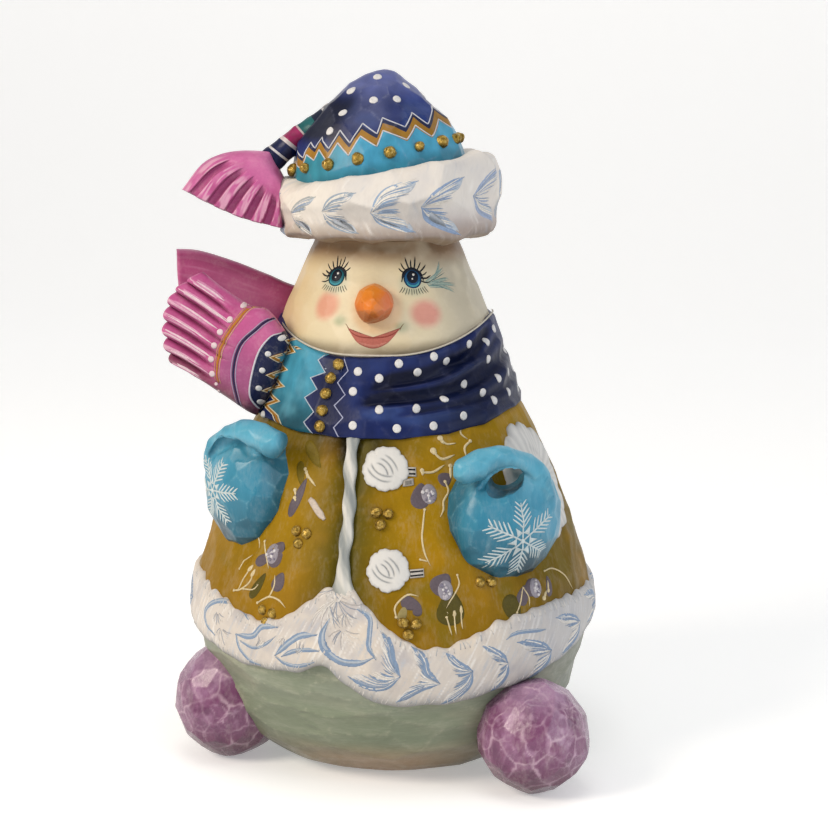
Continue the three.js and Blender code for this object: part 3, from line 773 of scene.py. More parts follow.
def make_hem():
    around, rows = 820, 58
    az = np.linspace(-180, 180, around, endpoint=False)
    low, top = hem_edges(az)
    s = np.linspace(0, 1, rows)[:, None]
    zz = low[None] * (1 - s) + top[None] * s
    aa = az[None] + 0 * s
    edge_mm = np.minimum(s, 1 - s) * (top - low)[None]
    proud = 1.35 * np.sqrt(np.clip(1 - (1 - np.clip(edge_mm / 2.4, 0, 1)) ** 2, 0, 1)) - 0.5
    mid = np.abs(s - 0.5) * 2
    proud += 0.35 * (1 - mid**2)
    across_mm = np.radians(aa) * HEM_RADIUS
    curl = np.sin(across_mm / 4.6 + 1.3 * np.sin(zz / 4.0))
    proud += 0.13 * curl * (1 - mid)
    proud += 0.20 * hair_relief(zz + 0.35 * across_mm, across_mm - 0.5 * zz, 21, 0.75, 5.0)
    lap = wrap(aa - HEM_LAP_AZ) * HEM_RADIUS * math.pi / 180
    proud += 0.9 * smoothstep(lap, 1.2, -0.6) * smoothstep(lap, -13, -4)
    radius = profile_radius(BODY, zz) + proud
    outer = polar(radius, aa, zz)
    inner = np.stack([polar(profile_radius(BODY, z) - 2.4, az, z) for z in (top - 0.6, low + 0.6)])
    verts, faces = closed_band(outer, inner)
    tint = fur_colour(zz.shape, outer, 30)
    comb = hair_relief(zz + 0.35 * across_mm, across_mm - 0.5 * zz, 25, 0.55, 6.0)
    tint = washed(tint, [
        ("ffffff", 0.65 * smoothstep(comb, 0.15, 0.6)),
        ("c3cede", 0.6 * smoothstep(-comb, 0.25, 0.7)),
        # painted shade: greyer along the band's lower edge and on the figure's left side
        ("aab0b4", 0.7 * bump(s, 0.0, 0.12)),
        ("bcc2cc", 0.6 * towards(aa, 25, 65)),
    ])
    canvas = Canvas(verts, faces)
    inner_tint = tint_of("d8d2c8", (2 * around,))
    material = painted_wood("fur_paint", brush=(1, 1, 0.3), wear="ffffff", wear_amount=0.2, mottle=0.08,
                            gloss=0.5, coat=0.05)
    make_piece("hem_fur", verts, faces, material, "fur_paint",
               tint=np.vstack([tint.reshape(-1, 3), inner_tint]))
    return canvas


def make_placket():
    """A twisted cord of fur down the front opening, from the scarf to the hem."""
    z = np.linspace(110, 60.5, 240)
    spread = smoothstep(z, 71, 61)
    half = 1.95 + 0.3 * np.sin(z / 1.55) + 3.8 * spread
    centre = spline([63, 86, 107], [-6.2, -6.5, -7.7], z) + 0.25 * np.sin(z / 4.3)
    count = 40
    phase = turns(count)
    radius = profile_radius(BODY, z)
    rings = []
    for i in range(len(z)):
        across = half[i] * np.cos(phase)
        twist = np.sin(z[i] / 2.6 + across / half[i] * 1.7)
        lift = (1.55 + 0.3 * twist) * np.maximum(np.sin(phase), -0.9) - 0.75
        lift += 0.16 * np.sin(across * 3.2 + z[i] * 0.55 * np.sign(across)) * (np.sin(phase) > 0)
        rings.append(polar(radius[i] + lift, centre[i] + np.degrees(across / radius[i]), z[i] + 0 * phase))
    rings = np.array(rings)[::-1, ::-1]
    verts, faces = capped_rings(rings)
    zz = np.broadcast_to(z[::-1, None], rings.shape[:2])
    ph = np.broadcast_to(phase[None, ::-1], rings.shape[:2])
    groove = np.sin(zz / 2.6 + np.cos(ph) * 1.7)
    # painted shade and light: blue-grey in the twist grooves and at the cord's sides, near white on the
    # crests
    tint = blend(tint_of("c6cac8", zz.shape), linear("858f94"), 0.7 * smoothstep(-groove, 0.0, 0.9))
    tint = washed(tint, [
        ("eeeeea", 0.8 * smoothstep(groove, 0.3, 1.0)),
        ("8f9996", 0.6 * smoothstep(np.abs(np.cos(ph)), 0.75, 1.0)),
    ])
    material = painted_wood("fur_paint")
    make_piece("placket_cord", verts, faces, material, "fur_paint", tint=tint)


def petal_relief(x, y, petals, skew, inner):
    """How far a point lies from the middle (0) to the rim (1) of the topmost of a ring of lapping petals."""
    reach = 0.0
    for k in range(petals):
        a = skew + 2 * math.pi * k / petals
        away = math.hypot(x - inner * math.cos(a), y - inner * math.sin(a)) / (1.0 - inner + 0.02)
        if away < 1:
            reach = away
    away = math.hypot(x, y) / (inner * 0.62)
    return away if away < 1 else reach


COMB_ARCS = [  # centre x and y, radius, first and last angle: nested arcs in two opposed groups
    (-0.45, -0.45, 0.62, 12, 84), (-0.45, -0.45, 0.84, 16, 80), (-0.45, -0.45, 1.06, 24, 72),
    (0.10, 0.45, 0.78, 208, 288), (0.10, 0.45, 1.00, 216, 282),
]


def comb_arc(x, y, turn):
    """1 on the arcs that a comb leaves in a puff of fur, 0 between them."""
    p = x * math.cos(turn) + y * math.sin(turn)
    q = y * math.cos(turn) - x * math.sin(turn)
    marked = 0.0
    for cx, cy, radius, first, last in COMB_ARCS:
        angle = math.degrees(math.atan2(q - cy, p - cx)) % 360
        ends = smoothstep(angle, first - 6, first + 12) * smoothstep(angle, last + 6, last - 12)
        marked = max(marked, float(bump(math.hypot(p - cx, q - cy), radius, 0.036) * ends))
    return marked


def lobed_pad(canvas, u, v, radius, petals, height, seed, tall=1.0, inner=0.58, drawn=1.0):
    """A raised puff of fur with a scalloped rim, combed in arcs (drawn 1) or in lapping petals.
    Returns its vertices, faces and tints."""
    skew = np.random.default_rng(seed).uniform(0, 6.28)
    su, sv = canvas.scale(u, v)
    count, rows = 120, 34
    verts, tints = [], []
    for i in range(rows):
        share = 1 - (i / (rows - 1)) ** 1.15 * 0.97
        for j in range(count):
            a = 2 * math.pi * j / count
            lobe = abs(math.cos((a - skew) * petals / 2))
            edge = 0.90 + 0.10 * math.sqrt(lobe) + 0.02 * math.sin(5 * a + seed) + 0.012 * math.sin(23 * a)
            x, y = edge * share * math.cos(a), edge * share * math.sin(a)
            dome = math.sqrt(max(0.0, 1 - share**3.2))
            rim = petal_relief(x, y, petals, skew, inner) if drawn < 1 else 0.0
            arc = drawn * comb_arc(x, y, 0.25 * math.cos(seed))
            up = -0.5 if i == 0 else height * (0.25 + 0.75 * dome) - 0.2 * rim**6 - 0.22 * arc
            point, normal = canvas.hit(u + x * radius / su, v + y * radius * tall / sv)
            verts.append(point + normal * up)
            # grey on the comb arcs, and painted shade darkening the rim where the puff curves down
            ink = max(0.85 * arc, 0.34 * smoothstep(share, 0.84, 1.0))
            hair = (1 - drawn) * 0.3 * (0.5 + 0.5 * math.sin(31 * a + 3 * math.sin(5 * a) + 4 * share))
            tints.append(blend(linear("e9eaea"), linear("868d94"), ink + hair))
    verts.append(canvas.hit(u, v)[0] + canvas.hit(u, v)[1] * height)
    tints.append(linear("efeeea"))
    return np.array(verts), mound_faces(rows, count), np.array(tints)


def make_buttons(canvas):
    for i, (azimuth, z, radius) in enumerate(BUTTONS):
        verts, faces, tints = lobed_pad(canvas, azimuth, z, radius, 9, 1.25, 40 + i)
        material = painted_wood("fur_paint")
        make_piece(f"button_{i + 1}", verts, faces, material, "fur_paint", tint=tints)


BUTTONS = [(5.4, 100.4, 7.2), (6.6, 71.8, 6.6)]  # azimuth, height, radius


def make_cuffs(canvas):
    """The fur at the end of each sleeve, behind the mittens."""
    for name, azimuth, z, radius in (("cuff_left", 69, 92, 17.5), ("cuff_right", -62, 96, 9)):
        verts, faces, tints = lobed_pad(canvas, azimuth, z, radius, 13, 1.6, int(z), tall=1.1, inner=0.74,
                                        drawn=0.15)
        material = painted_wood("fur_paint")
        make_piece(name, verts, faces, material, "fur_paint", tint=tints)


# ---- head and nose ---------------------------------------------------------------------------------
EYES = [(-26.0, 156.0), (25.5, 155.8)]
CHEEKS = [(-28.2, 147.3, 4.6, 4.4), (30.7, 145.3, 5.4, 4.3)]


def make_head():
    levels = np.linspace(118.4, 167.2, 104)
    rings, zz, aa = revolve(HEAD + [(23.0, 167.5)], HEAD_X, 440, levels)
    radius = profile_radius(HEAD, zz)
    normals = ring_normals(rings)
    rings, ridge = carve(rings, normals, 9.0, 70, tilt=0.022, depth=0.05, seed=12)
    tint = tint_of("efe2c0", zz.shape)
    tint = washed(tint, [
        # painted light and shade: warm on the figure's right where the key light falls, greyer on its left, a
        # brown shadow under the brim and a darker chin above the scarf
        ("f6dfa8", 0.75 * towards(aa, -25, -62)),
        ("c9c3b2", 0.85 * towards(aa, 18, 58)),
        ("8e6a4a", 0.85 * smoothstep(zz, 157.0, 164.5)),
        ("998c74", 0.8 * smoothstep(zz, 138.5, 133.5)),
    ])
    for u, v, wide, tall in CHEEKS:
        across = wrap(aa - u) * radius * math.pi / 180
        reach = np.sqrt((across / wide) ** 2 + ((zz - v) / tall) ** 2)
        tint = blend(tint, linear("eb9c84" if u < 0 else "e08c84"), 0.8 * smoothstep(reach, 1.3, 0.55))
    for u, v in EYES:
        across = wrap(aa - u) * radius * math.pi / 180
        reach = np.sqrt((across / 4.6) ** 2 + ((zz - v + 1.6) / 3.6) ** 2)
        tint = blend(tint, linear("9fb8a8"), 0.45 * smoothstep(reach, 1.3, 0.6))
    for u, v in ((-17.5, 143.2), (16.5, 141.6)):
        reach = np.hypot(wrap(aa - u) * radius * math.pi / 180 / 2.0, (zz - v) / 1.5)
        tint = blend(tint, linear("9db08a"), 0.7 * smoothstep(reach, 1.7, 0.3))
    nose_shade = np.hypot(wrap(aa - 3) * radius * math.pi / 180 / 8.5, (zz - 146.5) / 8.0)
    tint = blend(tint, linear("f0bd86"), 0.5 * smoothstep(nose_shade, 1.1, 0.75))
    patch = layered(rings, 8, seed=14)
    tint = blend(tint, linear("f7eed6"), 0.4 * smoothstep(patch, 0.05, 0.7))
    verts, faces = capped_rings(rings)
    material = painted_wood("face_paint", brush=(0.6, 0.6, 1.0), wear="fff8e8", wear_amount=0.12, mottle=0.06,
                            gloss=0.4, bump_mm=0.045)
    make_piece("head_block", verts, faces, material, "face_paint", ("head",), ridge=ridge, tint=tint)
    return Canvas(verts, faces, HEAD_X)


def make_nose():
    base, azimuth, radius, length = Vector((-1.4, -30.4, 148.6)), 5.0, 6.1, 12.5
    out = Vector(polar(1.0, azimuth, 0.0))
    side, up = Vector((-out.y, out.x, 0)), Vector((0, 0, 1))
    outline = [(-3.0, 0.93), (1.0, 0.985), (1.8, 1.0), (4.8, 0.93), (8.5, 0.70), (11.0, 0.40), (12.2, 0.17),
               (12.5, 0.03)]
    reach, share = zip(*outline)
    along = np.concatenate([np.linspace(-3.0, 12.0, 80), np.linspace(12.05, length, 10)])
    phase = turns(150)
    rings = []
    for w in along:
        r = radius * float(spline(reach, share, w))
        cut = 1 - 0.045 * np.abs(np.sin(3.5 * phase + 0.5)) * smoothstep(w, 2, 7)
        ring = [base + out * w + side * (r * c * k) + up * (r * 1.02 * s * k - 0.02 * w)
                for c, s, k in zip(np.cos(phase), np.sin(phase), cut)]
        rings.append(ring)
    rings = np.array(rings)
    normals = ring_normals(rings)
    if (normals[40] * (rings[40] - rings[40].mean(0))).sum() < 0:
        rings = rings[:, ::-1]
        normals = ring_normals(rings)
    rings, ridge = carve(rings, normals, 3.6, 14, tilt=0.07, depth=0.05, seed=31)
    centre = np.array(base)
    x = (rings - centre) @ np.array(side)
    z = rings[..., 2] - base.z
    tint = tint_of("ee8420", x.shape)
    tint = washed(tint, [
        # painted shade underneath, a pinker painted light on one side and a painted highlight along the top
        ("c45f14", 0.75 * smoothstep(z + 0.35 * x, -0.5, -4.5)),
        ("e9794a", 0.8 * smoothstep(x - 0.2 * z, 0.5, 4.5)),
        ("f79a30", 0.5 * smoothstep(z - 0.4 * x, 1.5, 5)),
    ])
    verts, faces = capped_rings(rings)
    material = painted_wood("nose_paint", wear="ffc27a", wear_amount=0.3, mottle=0.1, gloss=0.36, coat=0.25)
    make_piece("carrot_nose", verts, faces, material, "nose_paint", ("nose",), ridge=ridge, tint=tint)


# ---- scarf -----------------------------------------------------------------------------------------
SCARF_BOTTOM, SCARF_TOP = (108.3, 113.6), (133.4, 142.8)
NAVY, TURQUOISE = "1c2a62", "4aa0c0"
ZIG_RIGHT = [(-10.5, 108.5), (-13.3, 111.8), (-10.0, 114.8), (-14.4, 118.2), (-10.1, 121.5), (-13.9, 125.0),
             (-9.8, 128.6), (-12.6, 132.6)]
ZIG_LEFT = [(-22.5, 109.5), (-27.0, 112.6), (-22.8, 116.0), (-29.0, 119.8), (-23.4, 122.6), (-28.0, 125.8),
            (-20.4, 127.8), (-25.6, 131.2), (-20.0, 134.4)]
ZIG_GOLD = [(-40.5, 110.4), (-44.5, 113.2), (-52.8, 115.4), (-45.5, 117.4), (-57.0, 119.8), (-44.8, 122.0),
            (-56.0, 124.6), (-45.6, 127.0), (-58.0, 130.0), (-43.2, 132.6), (-50.5, 135.6), (-38.5, 137.4)]


def zigzag_at(corners, z):
    """Azimuth of a standing zigzag at a height."""
    azimuths, heights = zip(*corners)
    return np.interp(z, heights, azimuths)


def scarf_radius(z):
    return 35.6 + (141 - z) * 0.33


def scarf_edges(azimuth):
    share = smoothstep(np.abs(wrap(azimuth)) / 180, 0.06, 0.5)
    low = SCARF_BOTTOM[0] + share * (SCARF_BOTTOM[1] - SCARF_BOTTOM[0])
    high = SCARF_TOP[0] + share * (SCARF_TOP[1] - SCARF_TOP[0])
    return low, high


SCARF_FOLDS = [  # (share of the height at the left end, at the right end, start az, end az, depth, width)
    (0.60, 0.88, -4, 84, 2.1, 1.9), (0.42, 0.58, -8, 110, 2.4, 2.3), (0.30, 0.30, 6, 120, 1.5, 1.8),
    (0.75, 0.74, 24, 96, 1.2, 1.6), (0.16, 0.10, 40, 130, 1.0, 1.7),
    (0.62, 0.50, 120, 200, 1.1, 2.0), (0.34, 0.24, 132, 230, 1.0, 1.8), (0.80, 0.70, 150, 250, 0.8, 1.8),
]


def scarf_fold(azimuth, share, height):
    total = 0.0
    for left, right, start, end, depth, width in SCARF_FOLDS:
        a = (np.asarray(azimuth) + 10) % 360 - 10
        t = np.clip((a - start) / (end - start), 0, 1)
        line = left + (right - left) * t + 0.03 * np.sin(t * 9)
        fade = smoothstep(a, start, start + 18) * smoothstep(a, end, end - 18)
        off = (share - line) * height
        groove = bump(off, 0, np.where(off < 0, width * 0.55, width * 1.5))
        total = total + depth * fade * (groove - 0.35 * bump(off, -width * 1.3, width))
    at_side = bump(wrap(azimuth), 98, 34)
    return total * (1 - 0.7 * at_side)


def make_scarf():
    around, rows = 620, 62
    az = np.linspace(-180, 180, around, endpoint=False)
    low, high = scarf_edges(az)
    s = np.linspace(0, 1, rows)[:, None]
    zz = low[None] * (1 - s) + high[None] * s
    aa = az[None] + 0 * s
    height = (high - low)[None]
    edge = np.minimum(s, 1 - s) * height
    inset = 1.5 * (1 - np.sqrt(np.clip(1 - (1 - np.clip(edge / 1.8, 0, 1)) ** 2, 0, 1)))
    radius = scarf_radius(zz) - inset
    outer = polar(radius, aa, zz)
    normals = ring_normals(outer)
    outer = outer - normals * scarf_fold(aa, s + 0 * aa, height)[..., None]
    outer, ridge = carve(outer, normals, 8.5, 48, tilt=0.055, depth=0.1, seed=17)
    top_inner = np.maximum(profile_radius(HEAD, high) - 0.8, 31.0)
    inner = np.stack([polar(r, az, z) for r, z in ((top_inner, high - 1.0), (31.5 + 0 * az, high - 8),
                                                   (34.0 + 0 * az, low + 0.7))])
    outer[..., 0] += SCARF_X
    inner[..., 0] += SCARF_X
    verts, faces = closed_band(outer, inner)
    tint = tint_of(NAVY, zz.shape)
    fold = scarf_fold(aa, s + 0 * aa, height)
    tint = washed(tint, [
        # painted shade: near black deep in the folds
        ("060d2c", 0.95 * smoothstep(fold, 0.2, 0.85)),
        ("2f4280", 0.55 * smoothstep(layered(outer, 9, 41), 0.0, 0.6) * smoothstep(fold, 0.4, 0.0)),
        # painted highlight on the ridges between the folds, then painted shade low down on the figure's left
        # side
        ("3e5696", 0.6 * smoothstep(-fold, 0.05, 0.45)),
        ("0b183e", 0.85 * towards(aa, 14, 48) * smoothstep(zz, 140, 128)),
        ("0f1840", 0.85 * bump(aa, -17, 7)),
    ])
    right = (aa - zigzag_at(ZIG_LEFT, zz)) * radius * math.pi / 180
    left = (aa - zigzag_at(ZIG_GOLD, zz)) * radius * math.pi / 180
    sky_tint = blend(tint_of(TURQUOISE, zz.shape), linear("1f5568"), 0.9 * smoothstep(zz, 125, 112))
    sky_tint = blend(sky_tint, linear("6fbbd4"), 0.6 * smoothstep(layered(outer, 8, 44), 0.0, 0.6))
    hidden = tint_of(NAVY, (3, around))  # the three inner rows
    outside = np.full((3, around), 50.0)  # mm, well away from the panel between the zigzags
    make_piece("scarf", verts, faces, scarf_material(), "scarf_paint", ("scarf_wrap",),
               ridge=np.vstack([ridge, 0 * outside]), sky_right=np.vstack([right, outside]),
               sky_left=np.vstack([left, outside]), tint=np.vstack([tint, hidden]),
               sky=np.vstack([sky_tint, hidden]))
    make_piping()
    return Canvas(verts, faces, SCARF_X)


def make_piping():
    """The cream piping along the scarf's upper rim at the front."""
    azimuth = np.linspace(-64, 104, 70)
    rim = scarf_edges(azimuth)[1]
    path = polar(scarf_radius(rim) - 0.75, azimuth, rim - 0.1) + (SCARF_X, 0, 0)
    verts, faces = tube(path, [0.30, 0.34, 0.26, 0.32], around=10, rows=150)
    tint = tint_of("d9d5c8", (len(verts),))
    make_piece("scarf_piping", verts, faces, stroke_paint("paint_strokes"), "scarf_paint", tint=tint)


def scarf_material():
    """Navy with one turquoise panel between two zigzags."""
    n = Nodes("scarf_paint")
    inside = n.math("MULTIPLY", n.math("LESS_THAN", n.attribute("sky_right"), 0.0),
                    n.math("GREATER_THAN", n.attribute("sky_left"), 0.0))
    colour = n.mix(inside, n.attribute("tint", "Color"), n.attribute("sky", "Color"))
    return n.patterned(colour, 0.78, 0.07, "9aa0c8", 0.32, 0.05)


# ---- flat carved pieces: scarf tails and tassel ------------------------------------------------------
class Slab:
    """A carved board in an upright plane, woven from four edge curves given as [along, height] in mm."""

    def __init__(self, at, to, thickness, root, low, high, tips):
        self.at = np.array([*at, 0.0])
        self.along = unit(np.array([to[0] - at[0], to[1] - at[1], 0.0]))
        self.face = np.cross([0, 0, 1.0], self.along)
        self.thickness = thickness
        self.edges = root, low, high, tips

    def grid(self, rows, columns):
        """[along the piece, across it] positions in the plane."""
        root, low, high, tips = self.edges
        s, t = np.linspace(0, 1, rows), np.linspace(0, 1, columns)
        a, b = through(low, rows), through(high, rows)
        c, d = through(root, columns), through(tips, columns)
        flat = (1 - t)[None, :, None] * a[:, None] + t[None, :, None] * b[:, None]
        flat += (1 - s)[:, None, None] * c[None] + s[:, None, None] * d[None]
        for along, ends in ((1 - s, (a[0], b[0])), (s, (a[-1], b[-1]))):
            for across, corner in zip((1 - t, t), ends):
                flat -= (along[:, None] * across)[..., None] * corner
        return flat, s[:, None] + 0 * t[None], t[None] + 0 * s[:, None]

    def space(self, flat, depth):
        p = self.at + flat[..., :1] * self.along + depth[..., None] * self.face
        p[..., 2] = flat[..., 1]
        return p

    def build(self, rows, columns, front, back, soften, shift=None):
        """Vertices and faces of the solid whose two faces carry the reliefs front(s,t) and back(s,t).
        soften is the rounding in mm at the root, the low edge, the high edge and the tips."""
        flat, s, t = self.grid(rows, columns)
        if shift is not None:
            flat = flat + shift(s, t)
        long = np.linalg.norm(np.diff(flat[:, columns // 2], axis=0), axis=1).sum()
        wide = np.linalg.norm(np.diff(flat[rows // 2], axis=0), axis=1).sum()
        soft = 1.0
        for rim, mm in zip((s * long, t * wide, (1 - t) * wide, (1 - s) * long), soften):
            soft = soft * np.sqrt(np.clip(1 - (1 - np.clip(rim / mm, 0, 1)) ** 2, 0, 1))
        half = self.thickness / 2 * (0.12 + 0.88 * soft)
        tops = self.space(flat, half + front(s, t) * soft)
        unders = self.space(flat, -half - back(s, t) * soft)
        verts = np.vstack([tops.reshape(-1, 3), unders.reshape(-1, 3)])
        count = rows * columns
        faces = grid_faces(rows, columns) + [f[::-1] for f in grid_faces(rows, columns, count)]
        end = columns - 1
        loop = list(range(columns)) + [i * columns + end for i in range(1, rows)]
        loop += [(rows - 1) * columns + j for j in range(end - 1, -1, -1)]
        loop += [i * columns for i in range(rows - 2, 0, -1)]
        faces += [(b, a, a + count, b + count) for a, b in zip(loop, loop[1:] + loop[:1])]
        return verts, faces, tops, s, t

    def canvas(self, verts, faces):
        vectors = [Vector(v) for v in (self.at, self.along, (0, 0, 1), self.face)]
        return Canvas(verts, faces, plane=vectors)


def pleats(t, count, phase=0.0):
    """Round ridges (1) between sharp valleys (0)."""
    return np.abs(np.sin(np.pi * (count * t + phase))) ** 0.6


PINK, ROSE, WINE = "cb5c9c", "f0b6da", "93346a"
FRONT_TAIL = dict(at=(-28, -27), to=(-70, -20), thickness=8.6, root=[(12, 111.8), (5.7, 122), (0.6, 136.3)],
                  low=[(12, 111.8), (15.2, 113.4), (26, 119.8), (38.6, 126.4)],
                  high=[(0.6, 136.3), (8, 145.2), (14, 146.6), (23.8, 152.2), (30.5, 156.6)],
                  tips=[(38.6, 126.4), (41.8, 133), (42.0, 142.4), (38.6, 150.6), (30.5, 156.6)])
FAN_PLEATS = 7
TAIL_BORDER = [(10.4, 112.0), (10.6, 114.1), (12.3, 119), (11.4, 125.3), (8.9, 133), (5.2, 137.7),
               (2.7, 138.6)]
TAIL_ZIGZAG = [(4.3, 111.7), (7.9, 115.8), (3.8, 117.9), (7.8, 120.4), (2.9, 122.5), (6.1, 125.5),
               (0.8, 127.6), (4.8, 131.2), (-0.9, 133), (0.7, 136.3), (-2.9, 137.6)]
TAIL_DOTS = [(2.3, 137.1), (6, 132.3), (7.9, 127.1), (9.4, 121.3), (9.7, 116.6), (8.4, 112.5)]


def edge_at(corners, z):
    """How far out an upright line of corners lies at a height."""
    along, heights = zip(*corners)
    return np.interp(z, heights, along)


def make_front_tail():
    board = Slab(**FRONT_TAIL)

    def open_fan(s, t):
        return smoothstep(s, 0.36 + 0.07 * np.sin(9 * t), 0.72)

    def relief(s, t):
        crown = 1.5 * (1 - (2 * t - 1) ** 2) * smoothstep(s, 1.0, 0.3) - 0.7 * smoothstep(s, 0.12, 0.0)
        wave = pleats(t + 0.018 * np.sin(6 * s), FAN_PLEATS)
        return crown + open_fan(s, t) * 2.9 * (wave - 0.78)

    def scallop(s, t):
        out = 1.5 * (pleats(t, FAN_PLEATS) - 0.6) * smoothstep(s, 0.75, 1.0)
        return np.stack([out, 0 * out], -1)

    def back(s, t):
        return 0.6 * relief(s, t)

    verts, faces, tops, s, t = board.build(170, 240, relief, back, (6.0, 3.2, 3.2, 1.6), scallop)
    wave = pleats(t + 0.018 * np.sin(6 * s), FAN_PLEATS)
    fan = open_fan(s, t)
    tint = tint_of(PINK, s.shape)
    tint = washed(tint, [
        ("b04a80", 0.5 * smoothstep(layered(tops, 6, 51), 0.0, 0.6)),
        ("cd80ac", 0.5 * smoothstep(s, 0.5, 0.1) * smoothstep(t, 0.4, 0.9)),
        ("8c5a84", 0.55 * smoothstep(s, 0.56, 0.36) * smoothstep(t, 0.85, 0.35)),
        # painted shade: wine red deep in the pleat valleys
        (WINE, 0.95 * fan * smoothstep(wave, 0.62, 0.15)),
    ])
    streak = noise(np.stack([s * 9, t * 70, 0 * s], -1), 1.0, 53)
    dry = smoothstep(wave, 0.86, 0.99) * smoothstep(streak, -0.25, 0.35) * smoothstep(s, 0.55, 0.72)
    tint = washed(tint, [
        (ROSE, 0.85 * dry),
        ("f3cfe2", 0.5 * dry * smoothstep(s, 0.80, 0.97)),
        # painted shade: darker along the lower edge
        ("7d3f54", 0.8 * smoothstep(t, 0.30, 0.06)),
    ])
    u, z = (tops - board.at) @ board.along, tops[..., 2]
    tint = washed(tint, [
        ("16204c", 1.0 * (u < edge_at(TAIL_BORDER, z))),
        ("4697b2", 1.0 * (u < edge_at(TAIL_ZIGZAG, z))),
    ])
    material = painted_wood("fringe_paint", brush=(1, 1, 1), wear="f0b8d6", wear_amount=0.2, mottle=0.14,
                            gloss=0.36)
    make_piece("scarf_fan", verts, faces, material, "fringe_paint", ("scarf_tail_front",), tint=[tint, tint])
    return board.canvas(verts, faces)


BACK_TAIL = dict(at=(-24, 6), to=(-71, -3), thickness=6.6, root=[(-4, 128), (-4, 150)],
                 low=[(-4, 128), (24, 126.2), (44, 132)],
                 high=[(-4, 150), (8, 149.8), (18, 153.8), (29, 158.2), (40, 161.6), (47.4, 162.2)],
                 tips=[(44, 132), (47.0, 150), (47.4, 162.2)])


def make_back_tail():
    board = Slab(**BACK_TAIL)

    def front(s, t):
        return 0.5 * np.sin(5 * s + 2 * t) * smoothstep(s, 0.0, 0.3)

    def back(s, t):
        return smoothstep(s, 0.5, 0.82) * 1.9 * (pleats(t, 7) - 0.7)

    verts, faces, tops, s, t = board.build(130, 130, front, back, (1.0, 2.0, 1.7, 1.2))
    tint = tint_of("c55a93", s.shape)
    streak = noise(np.stack([s * 6, t * 34, 0 * s], -1), 1.0, 58)
    tint = washed(tint, [
        ("dd86ba", 0.8 * bump(s, 0.62, 0.25) * bump(t, 0.55, 0.4)),
        ("e6a3cb", 0.35 * smoothstep(streak, 0.1, 0.7) * smoothstep(s, 0.3, 0.55)),
        # painted shadow: dark near the root, in the hollow beside the head
        ("5d1d33", 0.9 * smoothstep(s, 0.42, 0.16)),
        ("8d3361", 0.6 * smoothstep(t, 0.80, 0.97)),
        ("d184b4", 0.4 * smoothstep(t, 0.955, 0.985) * smoothstep(s, 0.3, 0.7)),
        ("b04c84", 0.5 * smoothstep(layered(tops, 8, 57), 0.0, 0.6)),
    ])
    wave = pleats(t, 7)
    # painted shade: wine red in the pleat valleys of the rear face
    rear = blend(tint, linear(WINE), 0.9 * smoothstep(s, 0.5, 0.8) * smoothstep(wave, 0.6, 0.2))
    rear = blend(rear, linear(ROSE), 0.6 * smoothstep(s, 0.6, 0.85) * smoothstep(wave, 0.88, 1.0))
    material = painted_wood("fringe_paint")
    make_piece("scarf_end_back", verts, faces, material, "fringe_paint", ("scarf_tail_back",),
               tint=[tint, rear])
    return board.canvas(verts, faces)


TASSEL = dict(at=(-36, -9.5), to=(-65, -12.5), thickness=12.5, root=[(-2.4, 186), (1.4, 194.0)],
              low=[(-2.4, 186), (-2.4, 178), (-2.4, 169.8)],
              high=[(1.4, 194.0), (10.5, 194.7), (17.5, 193.9), (23.6, 190.9), (29.9, 183.6)],
              tips=[(-2.4, 169.8), (10, 172.8), (20, 177), (29.9, 182.0)])


def make_tassel():
    board = Slab(**TASSEL)
    count = 5.5

    def cut(s, t):
        return smoothstep(s, 0.34 + 0.14 * np.abs(t - 0.5), 0.62)

    def strands(s, t):
        """Flat strands (1) between wide valleys (0)."""
        return smoothstep(pleats(t + 0.05 * np.sin(3 * s), count, 0.1), 0.62, 0.86)

    def relief(s, t):
        return 0.4 * np.sin(3 * s) + cut(s, t) * 2.1 * (strands(s, t) - 0.72)

    verts, faces, tops, s, t = board.build(130, 260, relief, relief, (4.0, 1.0, 7.5, 0.8))
    wave = strands(s, t)
    tint = tint_of("cf68a8", s.shape)
    tint = washed(tint, [
        ("e085bc", 0.6 * smoothstep(s, 0.5, 0.2)),
        ("b9568f", 0.6 * smoothstep(layered(tops, 5, 61), 0.0, 0.6)),
        # painted shade: darker in the valleys between the strands
        ("b9548f", 0.85 * cut(s, t) * smoothstep(wave, 0.85, 0.3)),
    ])
    streak = noise(np.stack([s * 7, t * 60, 0 * s], -1), 1.0, 63)
    dry = bump(wave, 0.93, 0.12) * smoothstep(streak, -0.3, 0.3) * smoothstep(s, 0.38, 0.6)
    tint = blend(tint, linear("f2c6de"), 0.85 * dry)
    material = painted_wood("fringe_paint")
    make_piece("hat_fringe", verts, faces, material, "fringe_paint", ("hat_tassel",),
               tint=[tint, tint])
    return board.canvas(verts, faces)


